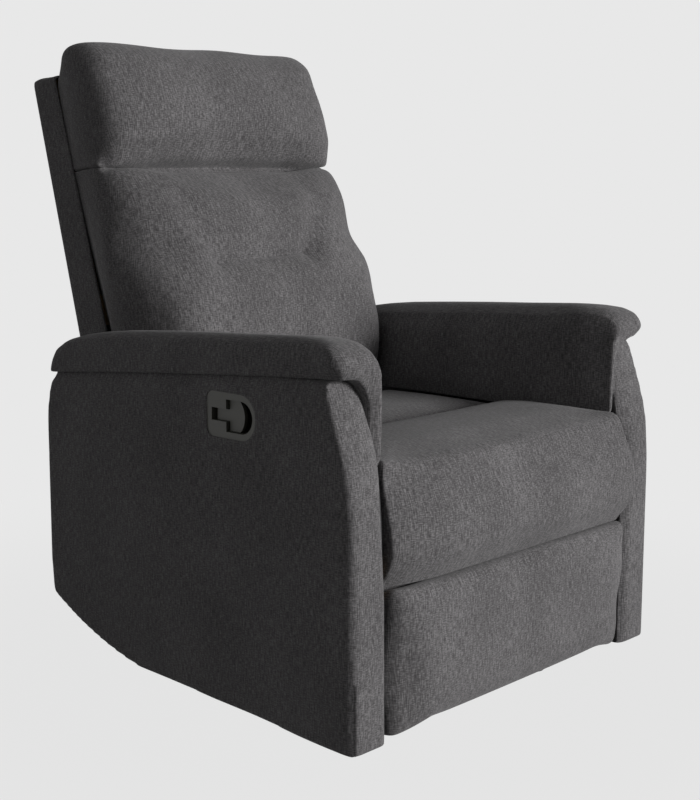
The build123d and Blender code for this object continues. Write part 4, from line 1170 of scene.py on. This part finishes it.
@dataclass
class ArmUpholstery:
    """Cover and pad of one arm, modelled on the sitter's left and mirrored for the right."""

    side: Side
    fabric: bpy.types.Material
    inner: float = 298.0             # inner face of the arm
    outer: float = 366.0             # its outer face
    face: float = -429.5             # its front, under the cover
    middle: tuple[float, float] = (-70.0, 316.0)   # middle of its side, as y and z
    reach: tuple[float, float] = (351.0, 259.0)    # half its length and height
    shoulder: float = 42.0           # rounding of the arm's top towards the seat, under the pad
    top: tuple[tuple[float, float], ...] = (   # seam between cover and pad, along the arm
        (-440, 580), (-380, 580), (-325, 577), (-245, 572), (-115, 562), (3, 552), (130, 541), (254, 529),
        (290, 525))
    pad_front: tuple[tuple[float, float], ...] = (   # the pad's side outline, down its nose
        (-350, 631), (-376, 629), (-395, 622), (-407, 611), (-412, 598), (-408, 578), (-406, 500),
        (-405, 462), (-398, 448), (-380, 446))
    pad_top: tuple[tuple[float, float], ...] = (     # the pad's side outline, from rear to front
        (266, 556), (256, 572), (232, 585), (192, 594), (138, 602), (81, 608), (-20, 614), (-107, 619),
        (-200, 623), (-268, 627), (-320, 630))
    pad_inner: float = 271.0         # the pad's edge over the seat
    pad_outer: float = 370.0         # its outer edge
    front_rounding: tuple[tuple[float, float], ...] = (   # height, and plan radius of the front's outer edge
        (50, 20), (470, 20), (500, 23), (530, 31), (560, 41), (585, 47))
    inner_rounding: tuple[tuple[float, float], ...] = (   # the same for its edge towards the seat
        (50, 17), (264, 20), (330, 27), (408, 36), (450, 39), (473, 42), (500, 48), (530, 56), (560, 60),
        (585, 60))
    cup_rim: float = 3.2             # how far the lever's cup reaches over the edge of its hole
    cup_front: float = 33.0          # rounding of that hole in front
    cup_rear: float = 14.0           # the same behind

    @property
    def word(self) -> str:
        """Side as it stands in the nodes' names."""
        return self.side.name.lower()

    def body(self, name: str, grow: float) -> Object:
        """Model the arm under its pad, its top edge rounded towards the seat.

        Args:
            name: name of the block.
            grow: how far it reaches past the arm's outer face and ends, in mm.

        Returns:
            The block.
        """
        under = [(290, 300), (-440, 300)]
        block = slab(name, [*under, *self.top], self.inner + 5, self.outer + 3 * grow)
        low = (self.inner + 5) * MM + 1e-5
        bevel_edges(block, lambda a, b: (max(a.x, b.x) < low and min(a.z, b.z) > 520 * MM
                                         and abs(a.y - b.y) > 0.1 * MM), self.shoulder, 7)
        return block

    def cover(self) -> Object:
        """Fabric cover over thin wadding: side, front, rear and underside, open towards the seat."""
        piece = copy_of_node("arm_cover_left", f"arm_side_cover_{self.word}")
        hull_skin(piece)
        p = read_points(piece)
        middle, reach = np.array(self.middle) * MM, np.array(self.reach) * MM
        p[:, X] = np.where(p[:, X] < (self.inner + 6) * MM, p[:, X] - 6 * MM, p[:, X])
        p[:, Y:] += np.sign(p[:, Y:] - middle) * 1.4 * MM
        p[:, X] += rise(p, X, 340, self.outer) * (3.5 + 5.0 * rise(-p, Y, 200, 380)) * MM
        p[:, Y] -= rise(-p, Y, 380, 415) * (1 - rise(p, Z, 430, 560)) * 8.5 * MM
        p[:, Z] -= (1 - rise(p, Z, 70, 200)) * 1.4 * MM
        write_points(piece, p)
        apply_modifier(piece, "SMOOTH", factor=0.5, iterations=6)
        p = read_points(piece)
        z = p[:, Z] / MM
        lean = ramp(z, 430, 585) * 12
        front = rise(-p, Y, 300, 380)
        outer = np.interp(z, *zip(*self.front_rounding)) * front + 8 * (1 - front)
        p = round_corner(p, (X, Y), (self.outer + 8.5, self.face + lean), (1, -1), outer,
                         2.7 - 0.6 * ramp(z, 430, 520))
        p = round_corner(p, (X, Y), (self.inner - 1.0, self.face + lean), (-1, -1),
                         np.interp(z, *zip(*self.inner_rounding)), 2.05)
        p[:, X] += rise(p, X, 345, self.outer) * crown(*((p[:, Y:] - middle) / reach).T) * 1.6 * MM
        under = np.interp(p[:, Y] / MM, *zip(*self.top)) - z
        p[:, X] -= rise(p, X, 340, self.outer) * (1 - ramp(under, 0, 26)) ** 1.5 * 8 * MM
        write_points(piece, p)
        if self.side is Side.RIGHT:
            mirror_x(piece)
        open_side(piece, (self.side.value * (self.inner + 0.4) * MM, 0, 0), (-self.side.value, 0, 0))
        if self.side is Side.RIGHT:
            self.cut_cup(piece)
        upholster(piece, self.fabric, f"arm_cover_{self.word}")
        return piece

    def cut_cup(self, piece: Object) -> None:
        """Cut the hole that the lever's cup sits in.

        Args:
            piece: cover of the right arm.
        """
        low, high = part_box("handle_cup")
        front, foot = low.y / MM + self.cup_rim, low.z / MM + self.cup_rim
        rear, head = high.y / MM - self.cup_rim, high.z / MM - self.cup_rim
        cutter = slab("cup_cutter", [(front, foot), (front, head), (rear, head), (rear, foot)],
                      -self.outer - 20, -self.outer + 20)
        near = 2 * self.cup_rim * MM
        bevel_edges(cutter, lambda a, b: abs(a.x - b.x) > 1 * MM and max(a.y, b.y) < low.y + near,
                    self.cup_front, 12)
        bevel_edges(cutter, lambda a, b: abs(a.x - b.x) > 1 * MM and min(a.y, b.y) > high.y - near,
                    self.cup_rear, 8)
        apply_modifier(piece, "BOOLEAN", object=cutter, operation="DIFFERENCE", solver="EXACT")
        bpy.data.objects.remove(cutter)

    def pad_block(self) -> Object:
        """Cut the pad's foam: its side outline less the arm that it sits on."""
        outline = [(262, 500), (268, 530), *self.pad_top, *self.pad_front, (254, 446)]
        foam = slab("arm_foam", outline, self.pad_inner, self.pad_outer)
        arm = self.body("arm_under_pad", 8)
        apply_modifier(foam, "BOOLEAN", object=arm, operation="DIFFERENCE", solver="EXACT")
        bpy.data.objects.remove(arm)
        return foam

    def shape_pad(self, p: Points) -> Points:
        """Roll the pad over both its edges, taper its apron to the front and round its nose."""
        ridge = sorted((-y, z) for y, z in (*self.pad_top, *self.pad_front[:5]))
        height = np.interp(-p[:, Y] / MM, *zip(*ridge))
        out = round_corner(p, (X, Z), (self.pad_outer, height), (1, 1), 30.0)
        out = round_corner(out, (X, Z), (self.pad_inner, height), (-1, 1), 44.0)
        nose = rise(-p, Y, 340, 400)
        above = rise(p, Z, 580, 604)
        out[:, X] += rise(p, X, 320, 368) * nose * above * 11 * MM
        out = round_corner(out, (X, Y), (self.pad_outer + 11 * above, -412), (1, -1), 46 - 16 * above)
        over = rise(p, Z, 535, 600)
        apron = 1 - np.clip((p[:, X] / MM - 270) / (36 + 60 * over), 0, 1)
        out[:, X] += apron * rise(-p, Y, 300, 404) ** 1.6 * 16 * MM
        out[:, Y] += (1 - over) * rise(p, X, 276, 303) * rise(-p, Y, 370, 400) * 10 * MM
        return out

    def hold_pad(self, p: Points) -> Points:
        """The pad rests on the arm and its apron hangs against the inner panel."""
        seam = np.interp(p[:, Y] / MM, *zip(*self.top))
        rest = rise(p, X, 300, 312) * (1 - ramp(p[:, Z] / MM - seam, 6, 20))
        apron = rise(p, X, 288, 297) * (1 - rise(p, Z, 540, 560))
        return np.maximum(rest, apron)

    def start(self, swelling: Swelling) -> None:
        """Cut the pad and hand it to the swelling.

        Args:
            swelling: the shared simulation.
        """
        padding = Padding(voxel=5.0, cap=7, rounding=5, fill=0.8)
        self.pad = swelling.add(
            PaddedPiece(f"arm_pad_{self.word}", f"arm_top_pad_{self.word}", padding, block=self.pad_block())
            .skin(self.shape_pad).swell(self.hold_pad))

    def complete(self) -> None:
        """Sew and dress the pad and make the cover."""
        self.pad.sew()
        if self.side is Side.RIGHT:
            mirror_x(self.pad.piece)
        self.pad.finish(self.fabric)
        self.cover()


# ---------------------------------------------------------------- footrest
@dataclass
class FootrestUpholstery:
    """Pad wrapped round the footrest's board."""

    fabric: bpy.types.Material
    board: float = -374.0            # front face of the board

    def cut(self, p: Points) -> Points:
        """Cut of the pad: front drawn in, right side full at half height, foot narrower, top edge raised."""
        out = p.copy()
        front = rise(-p, Y, 400, 424)
        out[:, Y] += rise(-p, Y, 390, 440) * 7 * MM
        side = rise(np.abs(p), X, 200, 290)
        full = hump(p, Z, 195, 90) * 12 * (p[:, X] > 0) - (1 - rise(p, Z, 57, 110)) * 5
        out[:, X] += np.sign(p[:, X]) * side * full * MM * front
        out[:, Z] -= (1 - rise(p, Z, 57, 90)) * (2 + 3 * rise(-p, X, 180, 290)) * MM
        out[:, Z] += rise(p, Z, 150, 255) * rise(-p, Y, 385, 410) * 25 * MM
        near = np.clip((-p[:, X] / MM - 215) / 75, 0, 1.1)
        out[:, Y] += near ** 2 * 9 * MM * rise(-p, Y, 385, 420)
        return out

    def held(self, p: Points) -> Points:
        """The pad is held on the board and where it wraps behind it."""
        return rise(p, Y, self.board - 14, self.board - 2)

    def start(self, swelling: Swelling) -> None:
        """Cut the pad and hand it to the swelling.

        Args:
            swelling: the shared simulation.
        """
        padding = Padding(voxel=5.0, cap=11, rounding=3, fill=0.8)
        self.pad = swelling.add(
            PaddedPiece("footrest_pad", "footrest_front_pad", padding).skin(self.cut).swell(self.held))

    def complete(self) -> None:
        """Sew and dress the pad."""
        self.pad.sew(self.sew).finish(self.fabric)

    def sew(self, p: Points) -> Points:
        """Sew the pad: its top edge stands up under the seat's hem."""
        out = p.copy()
        edge = bell(np.hypot(p[:, Y] + 424 * MM, p[:, Z] - 274 * MM), 20 * MM) * 7 * MM
        out[:, Y] -= edge * 0.6
        out[:, Z] += edge * 0.8
        return out


# ---------------------------------------------------------------- mechanism, frame and lever
@dataclass
class HardParts:
    """Steel, timber and plastic pieces whose shape comes from the CAD model."""

    finishes: Finishes

    def table(self) -> dict[str, bpy.types.Material]:
        """Finish of each kind of hard piece, by the start of its node's name."""
        f = self.finishes
        kinds = (
            (f.enamel, ("base_plate", "base_cross", "seat_plate", "front_swing", "rear_swing", "back_links",
                        "back_brackets", "front_foot", "rear_foot", "upper_foot", "lower_foot",
                        "foot_brackets", "drive_tube")),
            (f.zinc, ("base_pivot", "base_studs", "rail_bolts", "seat_pivot", "back_crank", "back_bolts",
                      "foot_crank", "foot_upper_pins", "foot_lower_pins", "foot_bracket_pins",
                      "footrest_bolts", "handle_pin", "seat_spring_clips")),
            (f.wire, ("seat_springs", "footrest_springs")),
            (f.side_plywood, ("seat_side", "arm_frame")),
            (f.board_plywood, ("footrest_board",)),
            (f.softwood, ("seat_front_rail", "seat_rear_rail", "back_cross")),
            (f.upright_wood, ("back_posts",)),
            (f.lining, ("arm_inner",)),
            (f.glide_plastic, ("base_glides",)),
            (f.cup_plastic, ("handle_cup", "handle_lever")),
            (f.webbing, ("back_webbing",)))
        return {start: finish for finish, starts in kinds for start in starts}

    def dress_all(self) -> None:
        """Give every hard node its finish."""
        table = self.table()
        for node, piece in frame["nodes"].items():
            if piece.hide_render:
                continue
            key = max((k for k in table if node.startswith(k)), key=len, default=None)
            if key is None:
                raise ValueError(f"{node} has no finish")
            dress(piece, table[key])
            log.info("%s: dressed in %s", node, table[key].name)


# ---------------------------------------------------------------- studio
@dataclass
class Studio:
    """Pale seamless studio with one broad key light, and the camera."""

    eye: tuple[float, float, float] = (-1.7285, -1.7079, 0.8627)   # m
    yaw: float = 46.318              # degrees to the right of straight back
    pitch: float = 8.99              # degrees downwards
    lens: float = 64.03              # mm
    shift: tuple[float, float] = (0.0079, -0.0080)
    paper: str = "#e8e8e8"           # tone of backdrop and floor
    sky: float = 0.066               # strength of the light from all round
    floor_tone: float = 0.2          # how much light the floor sends back onto the chair
    shade: float = 0.955             # share of the paper's own tone near the chair, where a shadow shows
    fade: tuple[float, float] = (0.45, 1.5)   # m from the middle, where that share starts and ends to rise

    def camera(self) -> None:
        """Set up the camera."""
        data = bpy.data.cameras.new("studio_camera")
        data.lens = self.lens
        data.shift_x, data.shift_y = self.shift
        data.clip_end = 60
        camera = bpy.data.objects.new("studio_camera", data)
        camera.location = self.eye
        camera.rotation_euler = (math.radians(90 - self.pitch), 0, math.radians(-self.yaw))
        bpy.context.scene.collection.objects.link(camera)
        bpy.context.scene.camera = camera

    def world(self) -> None:
        """Even light from all round; the paper's own tone is what the camera and shiny pieces see."""
        world = bpy.data.worlds.new("studio_world")
        bpy.context.scene.world = world
        world.use_nodes = True
        tree = world.node_tree
        tree.nodes.clear()
        seen = seen_directly(tree)
        light = add_node(tree, "ShaderNodeBackground", {"Color": (1, 1, 1, 1), "Strength": self.sky})
        paper = add_node(tree, "ShaderNodeBackground", {"Color": linear(self.paper), "Strength": 1.0})
        mix = add_node(tree, "ShaderNodeMixShader", {0: seen, 1: light.outputs[0], 2: paper.outputs[0]})
        add_node(tree, "ShaderNodeOutputWorld", {0: mix.outputs[0]})

    def floor(self) -> None:
        """Pale floor that keeps the chair's shadow."""
        bpy.ops.object.select_all(action="DESELECT")
        bpy.ops.mesh.primitive_circle_add(vertices=96, radius=9.0, fill_type="NGON", location=(0, 0, 0))
        floor = bpy.context.object
        floor.name = "studio_floor"
        paper, tree, _ = new_material("studio_paper")
        tree.nodes.clear()
        seen = seen_directly(tree)
        place = add_node(tree, "ShaderNodeTexCoord")
        reach = add_node(tree, "ShaderNodeVectorMath", {0: place.outputs["Object"]}, operation="LENGTH")
        start, end = self.fade
        fade = add_node(tree, "ShaderNodeMapRange", {"Value": reach.outputs["Value"], "From Min": start,
                                                     "From Max": end, "To Min": self.shade, "To Max": 1.0},
                        interpolation_type="SMOOTHSTEP")
        share = add_node(tree, "ShaderNodeMath", {0: seen, 1: fade.outputs[0]}, operation="MULTIPLY")
        matt = add_node(tree, "ShaderNodeBsdfDiffuse", {"Color": (*[self.floor_tone] * 3, 1)})
        glow = add_node(tree, "ShaderNodeEmission", {"Color": linear(self.paper), "Strength": 1.0})
        mix = add_node(tree, "ShaderNodeMixShader", {0: share.outputs[0], 1: matt.outputs[0],
                                                     2: glow.outputs[0]})
        add_node(tree, "ShaderNodeOutputMaterial", {0: mix.outputs[0]})
        floor.data.materials.append(paper)

    def lamp(self, name: str, place: tuple[float, float, float], aim: tuple[float, float, float],
             size: float, watts: float) -> None:
        """Hang one square softbox.

        Args:
            name: name of the lamp.
            place: where it hangs, in metres.
            aim: point that it faces.
            size: side of the softbox, in metres.
            watts: its power.
        """
        data = bpy.data.lights.new(name, "AREA")
        data.shape = "SQUARE"
        data.size = size
        data.energy = watts
        lamp = bpy.data.objects.new(name, data)
        lamp.location = place
        lamp.rotation_euler = (Vector(place) - Vector(aim)).to_track_quat("Z", "Y").to_euler()
        bpy.context.scene.collection.objects.link(lamp)

    def build(self) -> None:
        """Set up floor, light and camera."""
        self.camera()
        self.world()
        self.floor()
        self.lamp("key_softbox", (3.9, -9.9, 2.3), (0, -0.1, 0.6), 3.6, 1160)
        self.lamp("fill_softbox", (-3.4, -1.2, 1.9), (0, 0, 0.5), 2.4, 11)
        bpy.context.scene.view_settings.view_transform = "Standard"


def main() -> None:
    """Build the chair's upholstery round its frame, dress everything and set up the studio."""
    logging.basicConfig(level=logging.INFO, format="%(message)s")
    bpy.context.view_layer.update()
    Studio().build()
    finishes = Finishes()
    swelling = Swelling()
    assemblies = [BackUpholstery(finishes.fabric), SeatUpholstery(finishes.fabric),
                  ArmUpholstery(Side.LEFT, finishes.fabric), ArmUpholstery(Side.RIGHT, finishes.fabric),
                  FootrestUpholstery(finishes.fabric)]
    for assembly in assemblies:
        assembly.start(swelling)
    swelling.run()
    for assembly in assemblies:
        assembly.complete()
    HardParts(finishes).dress_all()


if __name__ == "__main__":
    main()
